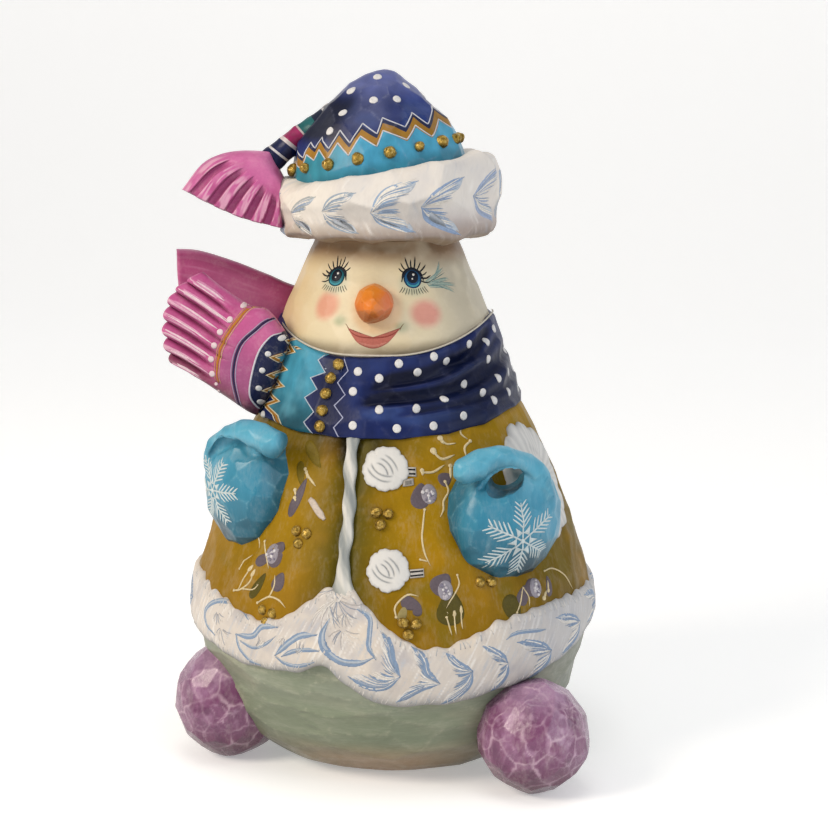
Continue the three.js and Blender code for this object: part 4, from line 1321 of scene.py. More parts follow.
# ---- hat -------------------------------------------------------------------------------------------
def make_brim():
    around = 500
    az = np.linspace(-180, 180, around, endpoint=False)
    shoulder = 3.0  # how far the upper corner stands out, and up, where the tassel meets it
    section = [(28.0, 166.4), (30.6, 166.6), (33.6, 167.2), (35.2, 168.6), (36.0, 171.0), (36.4, 176.5),
               (36.5, 180.0), (36.1, 184.0), (34.8, 187.0), (32.0, 188.9), (29.0, 189.2), (26.5, 188.6)]
    path = through(section, 74)
    rings = polar(path[:, :1], az[None], path[:, 1:])
    aa = az[None] + 0 * path[:, :1]
    base = path[:, 1:] + 0 * az[None]
    normals = ring_normals(rings)
    across = np.radians(aa) * BRIM_RADIUS
    chevron = across - 2.4 * np.abs(base - 178.5) / 4
    curl = hair_relief(chevron * 0.4 + base, chevron, 71, 1.0, 4.0)
    crease = 0.7 * bump(base, 181.0, 3.0) - 0.8 * bump(base, 173.0, 2.8)
    rings = rings + normals * (0.12 * curl + crease)[..., None]
    rings, ridge = carve(rings, normals, 11.0, 34, tilt=0.085, depth=0.14, seed=23, stretch=(1, 1, 1.2))
    beside_tassel = shoulder * bump(aa, -84, 26)
    rings[..., :2] *= 1 + (beside_tassel * smoothstep(base, 181, 187) / BRIM_RADIUS)[..., None]
    rings[..., 2] += 1.3 * beside_tassel * smoothstep(base, 184, 189)
    rings[..., 2] += BRIM_RISE * rings[..., 0] * np.clip(base - BRIM_FOOT, 0, None) / 22.0
    rings[..., 0] += BRIM_X
    tint = fur_colour(base.shape, rings, 74)
    tint = washed(tint, [
        # painted light: warmer cream on the figure's right where the key light falls
        ("f3e6cc", 0.6 * towards(aa, 0, -70)),
        ("ffffff", 0.45),
        # painted shade: the lower half, below the crease, greyer and darker, cooler on the figure's left
        ("cfcada", 0.45 * smoothstep(base, 178, 169) * towards(aa, -5, 45)),
        ("cdbfa6", 0.5 * smoothstep(base, 176, 168) * towards(aa, -5, -60)),
        ("a39286", 0.8 * smoothstep(base, 176.5, 168.5)),
        ("ffffff", 0.5 * smoothstep(curl, 0.2, 0.7)),
        ("c6cfde", 0.45 * smoothstep(-curl, 0.25, 0.75)),
        # painted shade: brownish on the underside where the brim meets the face
        ("c9a878", 0.5 * smoothstep(base, 168.2, 166.6)),
    ])
    verts = rings.reshape(-1, 3)
    faces = ring_faces(len(rings), around, closed=True)
    material = painted_wood("fur_paint")
    make_piece("brim_fur", verts, faces, material, "fur_paint", ("hat_brim",), ridge=ridge, tint=tint)
    return Canvas(verts, faces, BRIM_X)


HAT_ZIGZAG = [(-62.3, 194.3), (-52.1, 192.3), (-49.6, 197.1), (-41.3, 195.4), (-37.3, 198.8), (-28.5, 195.4),
              (-22.5, 201.0), (-12.8, 197.2), (-5.7, 203.1), (6.4, 200.0), (10.8, 204.8), (28.4, 202.0),
              (37.9, 206.3), (49.7, 202.8), (68.0, 208.0)]
HAT_NAVY, HAT_OCHRE = 1.1, 3.8  # how far under the upper white line the navy stripe and the ochre one end


def hat_corners():
    """The zigzag round the crown: as painted at the front, then in even teeth round the back."""
    corners = list(HAT_ZIGZAG)
    for k in range(15):
        azimuth = 81.0 + 14.0 * k
        x = 24.0 * math.sin(math.radians(azimuth))
        corners.append((azimuth, 201.0 + 0.27 * x + (2.3 if k % 2 else -2.3)))
    return corners


def hat_zigzag(azimuth):
    """Height of the upper white line on the crown."""
    azimuths, heights = zip(*hat_corners())
    return np.interp((np.asarray(azimuth) - azimuths[0]) % 360 + azimuths[0], azimuths, heights)


def make_crown():
    levels = np.concatenate([np.linspace(180, 212, 78), np.linspace(212.4, 220.3, 26)])
    rings, zz, aa = revolve(CROWN, CROWN_X, 440, levels)
    normals = ring_normals(rings)
    rings, ridge = carve(rings, normals, 8.5, 26, tilt=0.075, depth=0.1, seed=27, stretch=(1, 1, 0.8))
    tint = tint_of("1f2f6e", zz.shape)
    tint = washed(tint, [
        # painted highlight: a paler patch on the front of the crown
        ("525a88", 0.75 * smoothstep(np.hypot((aa + 8) / 24, (zz - 207) / 6.5), 1.3, 0.5)),
        ("213b90", 0.7 * towards(aa, 25, 60)),
        ("3d5492", 0.45 * smoothstep(layered(rings, 7, 81), 0.0, 0.6)),
        # painted highlight on the top, then painted shade in the hollow beside the tip
        ("6c77b6", 0.75 * smoothstep(zz, 209, 216)),
        ("0a0e28", 0.92 * towards(aa, -10, -30) * smoothstep(zz, 196, 200) * smoothstep(zz, 216, 208)),
    ])
    sky = tint_of("4ea9d2", zz.shape)
    sky = washed(sky, [
        ("3c93a6", 0.8 * towards(aa, 0, -40)),
        ("59b8e2", 0.7 * towards(aa, 20, 60)),
        ("2f7f98", 0.6 * smoothstep(zz - 0.22 * rings[..., 0], 192.5, 189.0)),
    ])
    verts, faces = capped_rings(rings)
    make_piece("hat_crown_block", verts, faces, crown_material(), "crown_paint", ("hat_crown",), ridge=ridge,
               zig=zz - hat_zigzag(aa), tint=tint, sky=sky)
    return Canvas(verts, faces, CROWN_X)


def crown_material():
    """Navy above the zigzag, turquoise below, with a navy and an ochre stripe between them."""
    n = Nodes("crown_paint")
    zig = n.attribute("zig")
    stripes = n.bands(zig, [(-20, "a87d30"), (-HAT_NAVY, "283054")], -20.0, 20.0)
    colour = n.mix(n.math("GREATER_THAN", zig, 0.0), stripes, n.attribute("tint", "Color"))
    colour = n.mix(n.math("LESS_THAN", zig, -HAT_OCHRE), colour, n.attribute("sky", "Color"))
    return n.patterned(colour, 0.80, 0.25, "a9b0d0", 0.30, 0.07)


TIP_PATH = [(-6, -3.2, 209.0), (-13, -4.2, 206.0), (-21, -5.4, 202.6), (-28.6, -6.4, 198.6),
            (-34.0, -7.5, 194.2), (-39.2, -8.5, 189.6)]
TIP_RADII = [7.4, 6.2, 5.0, 3.9, 4.1, 4.8]


def make_hat_tip():
    rows, around = 150, 120
    path = through(TIP_PATH, rows)
    at = np.linspace(0, 1, rows)
    radii = spline(np.linspace(0, 1, len(TIP_RADII)), TIP_RADII, at)
    along = unit(np.gradient(path, axis=0))
    side = unit(np.cross(along, [0, 0, 1.0]))
    up = np.cross(side, along)
    phase = turns(around)
    ring = np.cos(phase)[None, :, None] * side[:, None] + np.sin(phase)[None, :, None] * up[:, None]
    rings = path[:, None] + ring * radii[:, None, None]
    rings, ridge = carve(rings, ring, 4.5, 14, tilt=0.08, depth=0.06, seed=33)
    if (ring_normals(rings)[60] * ring[60]).sum() < 0:
        rings, ridge = rings[:, ::-1], ridge[:, ::-1]
    reach = np.broadcast_to(at[:, None] + 0.018 * np.sin(phase)[None], ridge.shape)
    verts, faces = capped_rings(rings)
    n = Nodes("tip_paint")
    stops = [(0.0, "141a40"), (0.355, "c9c9cf"), (0.375, "15203c"), (0.465, "24696e"), (0.590, "c5b9c0"),
             (0.607, "9c2b62"), (0.725, "d9d2d6"), (0.755, "1a2350"), (0.850, "d4d4da"), (0.868, "161d48")]
    colour = n.bands(n.attribute("reach"), stops, 0.0, 1.0)
    colour = n.darkened(colour, n.remap(n.grain(2.5), 0.3, 0.7, 0.75, 1.2))
    material = n.finish(colour, n.remap(n.grain(2.0), 0.3, 0.7, 0.28, 0.44), n.grain(0.6), 0.06, 0.12)
    make_piece("hat_tip_block", verts, faces, material, "crown_paint", ("hat_tip",),
               ridge=ridge, reach=reach)


# ---- mittens and feet --------------------------------------------------------------------------------
MITTEN_PROUD = 2.0
MITTENS = {"mitten_right": (-51.0, 90.6, -1), "mitten_left": (46.0, 84.0, 1)}
MITTEN_HALF = {"mitten_right": (18.0, 19.4, 10.0), "mitten_left": (20.0, 19.4, 10.5)}
THUMBS = {
    "mitten_right": [(9.0, 3.0, 5.2), (7.4, 9.0, 5.6), (2.6, 14.8, 5.6), (-3.4, 17.8, 4.8),
                     (-10.0, 19.2, 3.0), (-16.6, 17.8, 0.0), (-21.0, 16.4, -2.4), (-23.0, 15.6, -3.6)],
    "mitten_left": [(9.5, 1.0, 5.2), (8.6, 8.0, 5.8), (5.2, 14.6, 6.0), (-1.0, 19.0, 5.6), (-7.5, 20.9, 4.8),
                    (-13.5, 20.2, 3.6), (-18.8, 18.2, 2.0), (-22.4, 16.4, -0.2)],
}
THUMB_SIZE = {
    "mitten_right": [4.0, 4.0, 3.7, 3.4, 3.8, 4.7, 4.9, 4.5],
    "mitten_left": [4.2, 4.4, 4.0, 3.6, 3.9, 4.6, 4.7, 4.3],
}
GROOVES = {  # points and radii of the cut that parts the thumb from the palm
    "mitten_left": ([(-3.0, 12.0, 7.6), (-2.6, 16.2, 5.6), (-6.5, 18.0, 4.4), (-10.6, 16.2, 4.4),
                     (-14.0, 13.6, 3.6),
                     (-18.0, 12.6, 1.4), (-22.0, 12.2, -3.0)], [1.4, 1.9, 2.2, 1.9, 1.5, 1.3, 1.2]),
    "mitten_right": ([(5.5, 8.6, 9.0), (1.0, 13.0, 7.6), (-3.4, 16.0, 6.0), (-8.2, 16.6, 4.6),
                      (-12.0, 14.0, 4.0),
                      (-15.6, 12.2, 2.6), (-20.5, 11.6, -3.0)], [0.8, 1.4, 1.9, 1.9, 1.5, 1.3, 1.2]),
}
GRIP_HOLE = (40.8, 97.2, 4.9)


def mitten_frame(name):
    azimuth, height, side = MITTENS[name]
    centre = polar(float(profile_radius(BODY, height)) + MITTEN_PROUD, azimuth, height)
    right = polar(1.0, azimuth + 90, 0.0)
    out = polar(1.0, azimuth, 0.0)
    return centre, right * side, np.array([0, 0, 1.0]), out


def on_mitten(name, points):
    centre, right, up, out = mitten_frame(name)
    p = np.asarray(points, float)
    return centre + p[..., :1] * right + p[..., 1:2] * up + p[..., 2:] * out


def tube(path, radii, around=40, rows=70, flat=1.0):
    line = through(path, rows)
    sizes = spline(np.linspace(0, 1, len(radii)), radii, np.linspace(0, 1, rows))
    t = np.linspace(0, 1, rows)
    inwards = np.minimum(t, 1 - t) * 14  # 1 where the rounding of an end is over
    sizes = sizes * np.sqrt(np.where(inwards < 1, np.clip(1 - (1 - inwards) ** 2, 0.02, 1), 1.0))
    along = unit(np.gradient(line, axis=0))
    side = unit(np.cross(along, [0.3, -0.9, 0.1]))
    up = np.cross(side, along)
    phase = turns(around)
    ring = np.cos(phase)[None, :, None] * side[:, None] + flat * np.sin(phase)[None, :, None] * up[:, None]
    return capped_rings(line[:, None] + ring * sizes[:, None, None])


def scratch_object(name, verts, faces):
    mesh = bpy.data.meshes.new(name)
    mesh.from_pydata(np.asarray(verts).tolist(), [], faces)
    made = bpy.data.objects.new(name, mesh)
    bpy.context.collection.objects.link(made)
    return outward(made)


def outward(piece):
    """Turns a closed piece's faces outwards."""
    work = bmesh.new()
    work.from_mesh(piece.data)
    bmesh.ops.recalc_face_normals(work, faces=work.faces)
    work.to_mesh(piece.data)
    work.free()
    return piece


def apply_modifiers(piece):
    graph = bpy.context.evaluated_depsgraph_get()
    mesh = bpy.data.meshes.new_from_object(piece.evaluated_get(graph))
    piece.modifiers.clear()
    piece.data = mesh
    return piece


def mitt_rings(name):
    """The plump mitt: nearly round in front view, domed to the front and straight to the back."""
    theta = np.linspace(0.03, math.pi - 0.03, 90)
    phase = turns(120)
    ring, depth = np.sin(theta)[:, None], -np.cos(theta)[:, None]
    ring = np.where(depth < 0, 1 - (1 - ring) * 0.2, ring)
    a, b, c = MITTEN_HALF[name]
    w = np.where(depth < 0, depth * 16, depth * c)
    x = ring * np.cos(phase)[None] * a
    y = ring * np.sin(phase)[None] * b
    x = x + 0.6 * (y > 0) * (y / b) ** 2
    return np.stack([x, y, w + 0 * x], -1)


def make_mitten(name):
    palm, faces = capped_rings(on_mitten(name, mitt_rings(name)))
    thumb, thumb_faces = tube(on_mitten(name, THUMBS[name]), THUMB_SIZE[name])
    faces = faces + [tuple(i + len(palm) for i in face) for face in thumb_faces]
    block = scratch_object(name + "_block", np.vstack([palm, thumb]), faces)
    remesh = block.modifiers.new("union", "REMESH")
    remesh.mode, remesh.voxel_size = "VOXEL", 0.55
    groove, sizes = GROOVES[name]
    cutters = [scratch_object("groove", *tube(on_mitten(name, groove), sizes))]
    if name == "mitten_left":
        x, z, radius = GRIP_HOLE
        path = [(x, -90, z), (x, -60, z), (x, -40, z), (x, -20, z)]
        cutters.append(scratch_object("hole", *tube(path, [radius * 0.70] * 4, flat=1.4)))
        shaft = [(0.0, 12.0, -6.5), (0.0, 17.0, -6.0), (-0.5, 22.0, -5.0), (-1.0, 30.0, -4.0)]
        cutters.append(scratch_object("shaft", *tube(on_mitten(name, shaft), [5.2, 5.6, 6.0, 7.0])))
    for cutter in cutters:
        cut = block.modifiers.new("cut", "BOOLEAN")
        cut.operation, cut.object, cut.solver = "DIFFERENCE", cutter, "EXACT"
    again = block.modifiers.new("skin", "REMESH")
    again.mode, again.voxel_size = "VOXEL", 0.5
    soft = block.modifiers.new("soft", "SMOOTH")
    soft.factor, soft.iterations = 0.5, 5
    apply_modifiers(block)
    mesh = block.data
    points = np.array([v.co for v in mesh.vertices])
    normals = np.array([v.normal for v in mesh.vertices])
    faces = [tuple(p.vertices) for p in mesh.polygons]
    for scrap in [block, *cutters]:
        bpy.data.objects.remove(scrap)
    points, ridge = carve(points, normals, 5.4, 18, tilt=0.07, depth=0.08, seed=90 + len(name))
    centre, right, up, out = mitten_frame(name)
    local = (points - centre) @ np.stack([right, up, out], -1)
    tint = tint_of("4a9fc2", ridge.shape)
    tint = washed(tint, [
        # painted shade on the lower part, painted light on top
        ("0e3344", 0.95 * smoothstep(local[:, 1] + 0.25 * local[:, 0], 1, -15)),
        ("6ac2e2", 0.6 * smoothstep(local[:, 1], 4, 16)),
        ("2a86a8", 0.55 * smoothstep(local[:, 0], 4, -10) * smoothstep(local[:, 1], 18, 10)),
        ("3c8cab", 0.5 * smoothstep(layered(points, 6, 95), 0.0, 0.6)),
        # painted shade where the mitten meets the body
        ("1f5468", 0.6 * smoothstep(local[:, 2], 0.5, -3.5)),
    ])
    material = painted_wood("mitten_paint", wear="a5dcec", wear_amount=0.3, mottle=0.12, gloss=0.34, coat=0.2)
    make_piece(name + "_painted", points, faces, material, "mitten_paint", (name,), ridge=ridge, tint=tint)
    plane = [Vector(centre), Vector(polar(1.0, MITTENS[name][0] + 90, 0.0)), Vector(up), Vector(out)]
    return Canvas(points, faces, plane=plane)


FEET = {  # centre, half sizes, azimuth
    "foot_right": ((-49.4, -26.2, 18.8), (17.2, 18.4, 19.3), -55.0),
    "foot_left": ((49.8, -45.6, 17.2), (17.4, 18.2, 17.8), 45.0),
}


def make_foot(name):
    centre, half, azimuth = FEET[name]
    theta = np.linspace(0.03, math.pi - 0.03, 130)
    phase = turns(230)
    a = math.radians(azimuth)
    x = half[0] * np.sin(theta)[:, None] * np.cos(phase)[None]
    y = half[1] * np.sin(theta)[:, None] * np.sin(phase)[None]
    z = -half[2] * np.cos(theta)[:, None] + 0 * x
    rings = np.stack([x * math.cos(a) - y * math.sin(a), x * math.sin(a) + y * math.cos(a), z], -1)
    normals = unit(rings / np.array(half) ** 2)
    rings = rings + np.array(centre)
    rings, ridge = carve(rings, normals, 6.5, 22, tilt=0.06, depth=0.08, seed=101 + len(name))
    crackle = crackle_lines(rings, 7.0, 105 + len(name), 0.42)
    fine = crackle_lines(rings, 3.4, 125 + len(name), 0.26)
    crackle = np.maximum(crackle, 0.8 * fine * smoothstep(layered(rings, 6, 112), 0.0, 0.4))
    rings = rings + normals * (0.07 * crackle)[..., None]
    rings[..., 2] = np.maximum(rings[..., 2], 0.0)
    tint = tint_of("86507a", ridge.shape)
    tint = washed(tint, [
        ("b488b0", 0.7 * smoothstep(layered(rings, 6, 108), 0.05, 0.6)),
        # painted shade low down; further on, painted light on top
        ("6a2f4e", 0.8 * smoothstep(rings[..., 2], 16, 4)),
        ("64335a", 0.6 * smoothstep(-layered(rings, 5, 109), 0.0, 0.6)),
        ("c3a2c6", 0.5 * smoothstep(rings[..., 2], 25, 34)),
    ])
    # pale speckle on the upper part: spattered paint and painted light
    dust_and_top_light = smoothstep(layered(rings, 2.0, 110), 0.05, 0.7) * smoothstep(rings[..., 2], 10, 20)
    tint = blend(tint, linear("c9a3c4"), 0.55 * dust_and_top_light)
    patchy = smoothstep(layered(rings, 4, 111), -0.5, 0.5)
    tint = blend(tint, linear("e2c2da"), 0.7 * crackle * (0.25 + 0.75 * patchy))
    verts, faces = capped_rings(rings)
    material = painted_wood("foot_paint", wear="dcc0d8", wear_amount=0.2, mottle=0.2, gloss=0.26, coat=0.35,
                            bump_mm=0.09)
    make_piece(name + "_painted", verts, faces, material, "foot_paint", (name,), ridge=ridge, tint=tint)


def crackle_lines(points, cell, seed, width=0.55):
    """A net of lines between scattered cells, 1 on a line."""
    rng = np.random.default_rng(seed)
    p = points.reshape(-1, 3)
    wobble = np.stack([layered(p, 3.5, seed + k) for k in range(3)], -1) * 1.5
    q = p + wobble
    seeds = p[scatter(p, cell, rng)]
    tree = KDTree(len(seeds))
    for i, s in enumerate(seeds):
        tree.insert(s, i)
    tree.balance()
    near = np.array([[hit[1] for hit in tree.find_n(v, 2)] for v in q])
    a, b = seeds[near[:, 0]], seeds[near[:, 1]]
    edge = ((q - (a + b) / 2) * unit(a - b)).sum(-1)
    wide = width * (0.75 + 0.5 * layered(p, 5, seed + 7))
    return np.exp(-(edge / wide) ** 2).reshape(points.shape[:-1])


# ---- gold beads and dowels ---------------------------------------------------------------------------
def gold_material():
    if "gold" in MATERIALS:
        return MATERIALS["gold"]
    n = Nodes("gold_paint")
    worn = n.remap(n.grain(1.2), 0.35, 0.65)
    colour = n.mix(worn, "7f6420", "cfae55")
    # pale gold specks: glitter in the paint and painted glints
    colour = n.mix(n.remap(n.grain(0.45), 0.55, 0.72), colour, "ecd590")
    rough = n.remap(n.grain(0.6), 0.3, 0.7, 0.22, 0.5)
    MATERIALS["gold"] = n.finish(colour, rough, n.grain(0.5, (1, 1, 1), 3.0), 0.16, 0.1, 0.62)
    return MATERIALS["gold"]


def make_bead(node, axis_x, radius, height, seed):
    """A lumpy drop of gilded paste standing on the surface under the CAD bead."""
    low, high = box_mm(node)
    centre = (low + high) / 2
    out = unit(np.array([centre[0] - axis_x, centre[1], 0.25 * math.hypot(centre[0] - axis_x, centre[1])]))
    side = unit(np.cross([0, 0, 1.0], out))
    up = np.cross(out, side)
    base = centre - out * 1.0
    theta = np.linspace(math.pi / 2 + 0.25, 0.03, 22)
    phase = turns(40)
    shape = np.stack([np.sin(theta)[:, None] * np.cos(phase), np.sin(theta)[:, None] * np.sin(phase),
                      np.cos(theta)[:, None] + 0 * phase], -1)
    lumps = 1 + 0.10 * noise(shape * 1.4, 1.0, seed) + 0.05 * noise(shape * 3.1, 1.0, seed + 40)
    shape = shape * lumps[..., None] * (radius, radius, height)
    rings = base + shape[..., :1] * side + shape[..., 1:2] * up + shape[..., 2:] * out
    verts, faces = capped_rings(rings)
    return make_piece("gold_" + node, verts, faces, gold_material(), "gold_paint", (node,))


def make_beads():
    for i, node in enumerate(sorted(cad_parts)):
        if node.startswith("bead_hat"):
            make_bead(node, CROWN_X, 1.85 + 0.25 * math.sin(i * 2.3), 1.9, i)
        elif node.startswith("bead_scarf"):
            make_bead(node, SCARF_X, 1.8, 1.8, i)
        elif node.startswith("bead_coat"):
            make_bead(node, 0.0, 1.65, 1.6, i)


def make_dowels():
    """The dowels stay as the CAD made them, in bare turned lime wood."""
    n = Nodes("bare_lime_wood")
    rings = n.remap(n.grain(1.1, (1, 1, 0.12), 4.0), 0.3, 0.7)
    colour = n.mix(rings, "b98f5c", "dcc293")
    material = n.finish(colour, n.remap(n.grain(0.8), 0.3, 0.7, 0.55, 0.8), n.grain(0.4, (1, 1, 0.15)), 0.05)
    for name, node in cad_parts.items():
        if name.startswith("dowel"):
            node.data.materials.clear()
            node.data.materials.append(material)


# ---- painted detail: the face ------------------------------------------------------------------------
def at_mm(canvas, u, v, offsets):
    """Points given in mm from (u, v) on a canvas."""
    su, sv = canvas.scale(u, v)
    return [(u + x / su, v + y / sv) for x, y in offsets]


PUPIL = "0a1226"
UPPER_LASHES = [  # (angle where the lash leaves the lid, its length, how far it bends), outer corner first
    (205, 3.2, -25), (184, 3.8, -24), (165, 2.8, -14), (148, 3.9, -12), (127, 3.2, -6), (108, 4.1, -2),
    (90, 3.0, 4), (72, 4.0, 8), (52, 3.2, 12), (32, 2.6, 16),
]


def paint_eye(paint, u, v, outer, iris, rim):
    """One eye; outer is -1 where its outer corner lies towards the figure's right."""
    rng = np.random.default_rng(500 + outer)
    discs = [(3.1, 1.06, rim, 0.05, 0), (2.7, 1.05, iris, 0.09, -0.15), (2.05, 1.08, PUPIL, 0.13, 0.35)]
    for radius, tall, colour, height, up in discs:
        paint.dot_near(u, v, 0, up, radius, colour, height, tall, around=28)
    # a paler crescent of painted light along the iris's lower rim
    glow = [(-2.05, -0.9), (-1.4, -2.0), (0, -2.45), (1.4, -2.0), (2.05, -0.9)]
    paint.line_near(u, v, glow, 0.75, "48a8bc", (0.2, 0.2), 0.15)
    lid = [(3.5 * outer, -0.9), (2.8 * outer, 1.5), (0, 3.1), (-2.6 * outer, 1.9), (-3.6 * outer, -1.0)]
    paint.line_near(u, v, lid, 1.05, "0e1424", (0.25, 0.25), 0.19)
    for angle, length, bend in UPPER_LASHES:
        if outer > 0:
            angle, bend = 180 - angle, -bend
        a, b = math.radians(angle + rng.uniform(-3, 3)), math.radians(angle + bend + rng.uniform(-8, 8))
        x0, y0 = 2.75 * math.cos(a), 2.75 * math.sin(a) + 0.2
        x1, y1 = x0 + length * 0.5 * math.cos(a), y0 + length * 0.5 * math.sin(a)
        x2, y2 = x1 + length * 0.5 * math.cos(b), y1 + length * 0.5 * math.sin(b)
        width = rng.uniform(0.45, 0.62)
        paint.line_near(u, v, [(x0, y0), (x1, y1), (x2, y2)], width, "131b26", (1.0, 0.15), 0.12, step=0.5)
    for k in range(11):
        x = -3.4 + 6.8 * k / 10
        y = -3.35 + 0.06 * x * x
        lean, reach = 0.34 * x + rng.uniform(-0.15, 0.15), rng.uniform(1.5, 2.0)
        points = [(x, y), (x + lean * 0.4, y - reach * 0.5), (x + lean, y - reach)]
        paint.line_near(u, v, points, 0.3, "3c413e", (0.9, 0.2), 0.07, step=0.5)
    # two white dots: painted highlights
    for x, y, r in ((0.35, 1.15, 0.42), (-0.15, -0.15, 0.30)):
        paint.dot_near(u, v, x, y, r, "f4f6f6", 0.22, around=12)


MOUTH_TOP = [(-12.8, 141.2), (-9.6, 139.5), (-5.2, 138.6), (1.3, 138.4), (7.6, 138.7), (12.2, 139.7),
             (16.0, 141.5)]
MOUTH_LOW = [(12.6, 139.0), (8.0, 136.4), (1.4, 135.0), (-5.6, 136.2), (-9.8, 138.6)]


def paint_face(canvas):
    paint = Paint(canvas)
    paint_eye(paint, *EYES[0], -1, "1f7384", "15404f")
    paint_eye(paint, *EYES[1], 1, "235f92", "173655")
    paint.blob(MOUTH_TOP + MOUTH_LOW, "c9766a", 0.10, rings=4, around=60)
    paint.line(MOUTH_TOP, 0.62, "a34c44", (0.15, 0.15), 0.14)
    paint.line([(-7, 137.0), (1.4, 135.9), (9.5, 137.2)], 1.3, "d48a7c", (0.1, 0.1), 0.12)
    for path in ([(34, 154.6), (42, 156.4), (50, 158.2)], [(35, 153.9), (44, 154.8), (53, 155.2)],
                 [(36, 153.3), (46, 152.9), (54, 151.2)], [(40, 155.4), (45, 157.8), (48, 160.2)],
                 [(37, 154.2), (47, 153.8), (57, 153.0)]):
        paint.line(path, 0.9, "a9bfb6", (0.7, 0.1), 0.05)
        for off in (-0.45, 0.4):
            paint.line(np.array(path) + (0.6, off), 0.24, "86a9aa", (0.5, 0.1), 0.07)
    for path in ([(34.5, 154.3), (43, 155.6), (51, 157.0)], [(35.5, 153.6), (43, 153.2), (49, 151.9)]):
        paint.line(path, 0.3, "4d8188", (0.7, 0.1), 0.07)
    paint.line([(-14.5, 142.4), (-12.6, 141.4), (-11.8, 140.2)], 0.3, "8d6a50", (0.2, 0.2), 0.06)
    paint.line([(17.6, 142.6), (16.0, 141.6), (15.2, 140.4)], 0.3, "8d6a50", (0.2, 0.2), 0.06)
    paint.finish("face_details", "face_paint", 0.35)


# ---- painted detail: scarf ---------------------------------------------------------------------------
SCARF_DOTS = [
    (-5.2, 128.5), (4.6, 126.6), (13.5, 131.0), (22.3, 128.1), (30.7, 132.6), (37.9, 130.8), (53, 135.2),
    (68, 134.8),
    (80, 138.2), (64, 129.8), (66, 123.8), (79, 124.5), (46.3, 123.4), (53.5, 120.5), (33.1, 119.8),
    (20.2, 117.6),
    (4.9, 117.5), (-6.7, 122.6), (-5.6, 112.7), (11.9, 112.0), (26.6, 112.4), (40.3, 114.6), (59.5, 117.6),
    (73, 118.8),
]
NAVY_DOTS = [(-58, 135.2), (-68.8, 130.1), (-67, 125), (-64, 119.3), (-60.4, 115.1), (-52.8, 112.2)]


def paint_scarf(canvas):
    paint = Paint(canvas)
    for azimuth, z in SCARF_DOTS + NAVY_DOTS:
        paint.dot(azimuth, z, 1.35, "eef0f4", 0.3, 1.05)
    rng = np.random.default_rng(77)
    for column in range(13):
        for row in range(4):
            azimuth = 94 + column * 15.2 + rng.uniform(-2.5, 2.5) + (row % 2) * 7
            z = 117.2 + row * 6.6 + rng.uniform(-1.2, 1.2)
            if azimuth < 280:
                paint.dot(wrap(azimuth), z, 1.2, "eef0f4", 0.3, 1.05)
    paint.line(ZIG_RIGHT, 0.42, "b9bfe0", (1, 1), 0.16, sharp=True)
    paint.line(ZIG_LEFT, 0.42, "c9d6ea", (1, 1), 0.16, sharp=True)
    shift = np.array([1.9, 0.0])
    paint.line(ZIG_GOLD, 1.35, "b07a26", (1, 1), 0.12, sharp=True)
    paint.line(np.array(ZIG_GOLD) + shift, 0.4, "efe6c8", (1, 1), 0.18, sharp=True)
    paint.line(np.array(ZIG_GOLD) - shift, 0.4, "efe6c8", (1, 1), 0.18, sharp=True)
    paint.finish("scarf_details", "scarf_paint")


FAN_NAVY = [(1.2, 142.4), (5.6, 143.0), (9.8, 139.9), (15.3, 134.3), (17.6, 125.1), (16.2, 115.2)]
FAN_GOLD = [(7.6, 147.6), (12.2, 147.0), (15.4, 143.2), (18.9, 138.6), (21.9, 132.8), (23.3, 125.6),
            (22.8, 122.4)]
FAN_DOTS = [(15.0, 147.1), (18.6, 142.6), (21.8, 138.6), (23.8, 134.3), (25.0, 129.9), (24.9, 125.2),
            (23.7, 122.0), (23.2, 119.5)]


def paint_fan(canvas):
    """Stripes and dots on the scarf's front end."""
    paint = Paint(canvas)
    paint.line(TAIL_BORDER, 0.7, "dfe2ee", (0.6, 0.6), 0.2)
    paint.line(TAIL_ZIGZAG, 1.3, "b07a26", (0.8, 0.8), 0.14, sharp=True)
    for off in (-0.75, 0.75):
        paint.line(np.array(TAIL_ZIGZAG) + (off, 0), 0.34, "efe6c8", (0.8, 0.8), 0.2, sharp=True)
    for u, z in TAIL_DOTS:
        paint.dot(u, z, 0.95, "eef0f4", 0.3)
    paint.line(FAN_NAVY, 1.0, "2a2550", (0.7, 0.7), 0.14)
    for off in (-0.75, 0.75):
        paint.line(np.array(FAN_NAVY) + (off, 0.25 * off), 0.34, "b9b6d6", (0.6, 0.6), 0.2)
    paint.line(FAN_GOLD, 1.15, "bf7e2e", (0.7, 0.5), 0.16)
    for way, colour in ((-1, "f0cf98"), (1, "e8b878")):
        paint.line(np.array(FAN_GOLD) + (0.8 * way, 0.35 * way), 0.26, colour, (0.6, 0.4), 0.2)
    for u, z in FAN_DOTS:
        paint.dot(u, z, 1.05 if z > 124 else 0.6, "f2dfe8", 0.3)
    brush_ridges(paint)
    paint.finish("fan_details", "fringe_paint")


def brush_ridges(paint):
    """Pale dry-brushed strokes along the ridges of the open fan."""
    flat = Slab(**FRONT_TAIL).grid(120, 240)[0]
    rng = np.random.default_rng(55)
    for k in range(FAN_PLEATS):
        for lane in (-0.018, -0.006, 0.008, 0.02):
            start, end = rng.uniform(0.50, 0.74), rng.uniform(0.88, 0.99)
            reach = np.linspace(start, end, 6)
            across = (k + 0.5) / FAN_PLEATS + lane - 0.018 * np.sin(6 * reach)
            path = [flat[int(a * 119), int(np.clip(b, 0, 1) * 239)] for a, b in zip(reach, across)]
            width, tint = rng.uniform(0.4, 0.95), rng.choice(["eeb8d6", "f6dcea", "e39cc6"])
            paint.line(path, width, tint, (0.4, 0.5), 0.07)


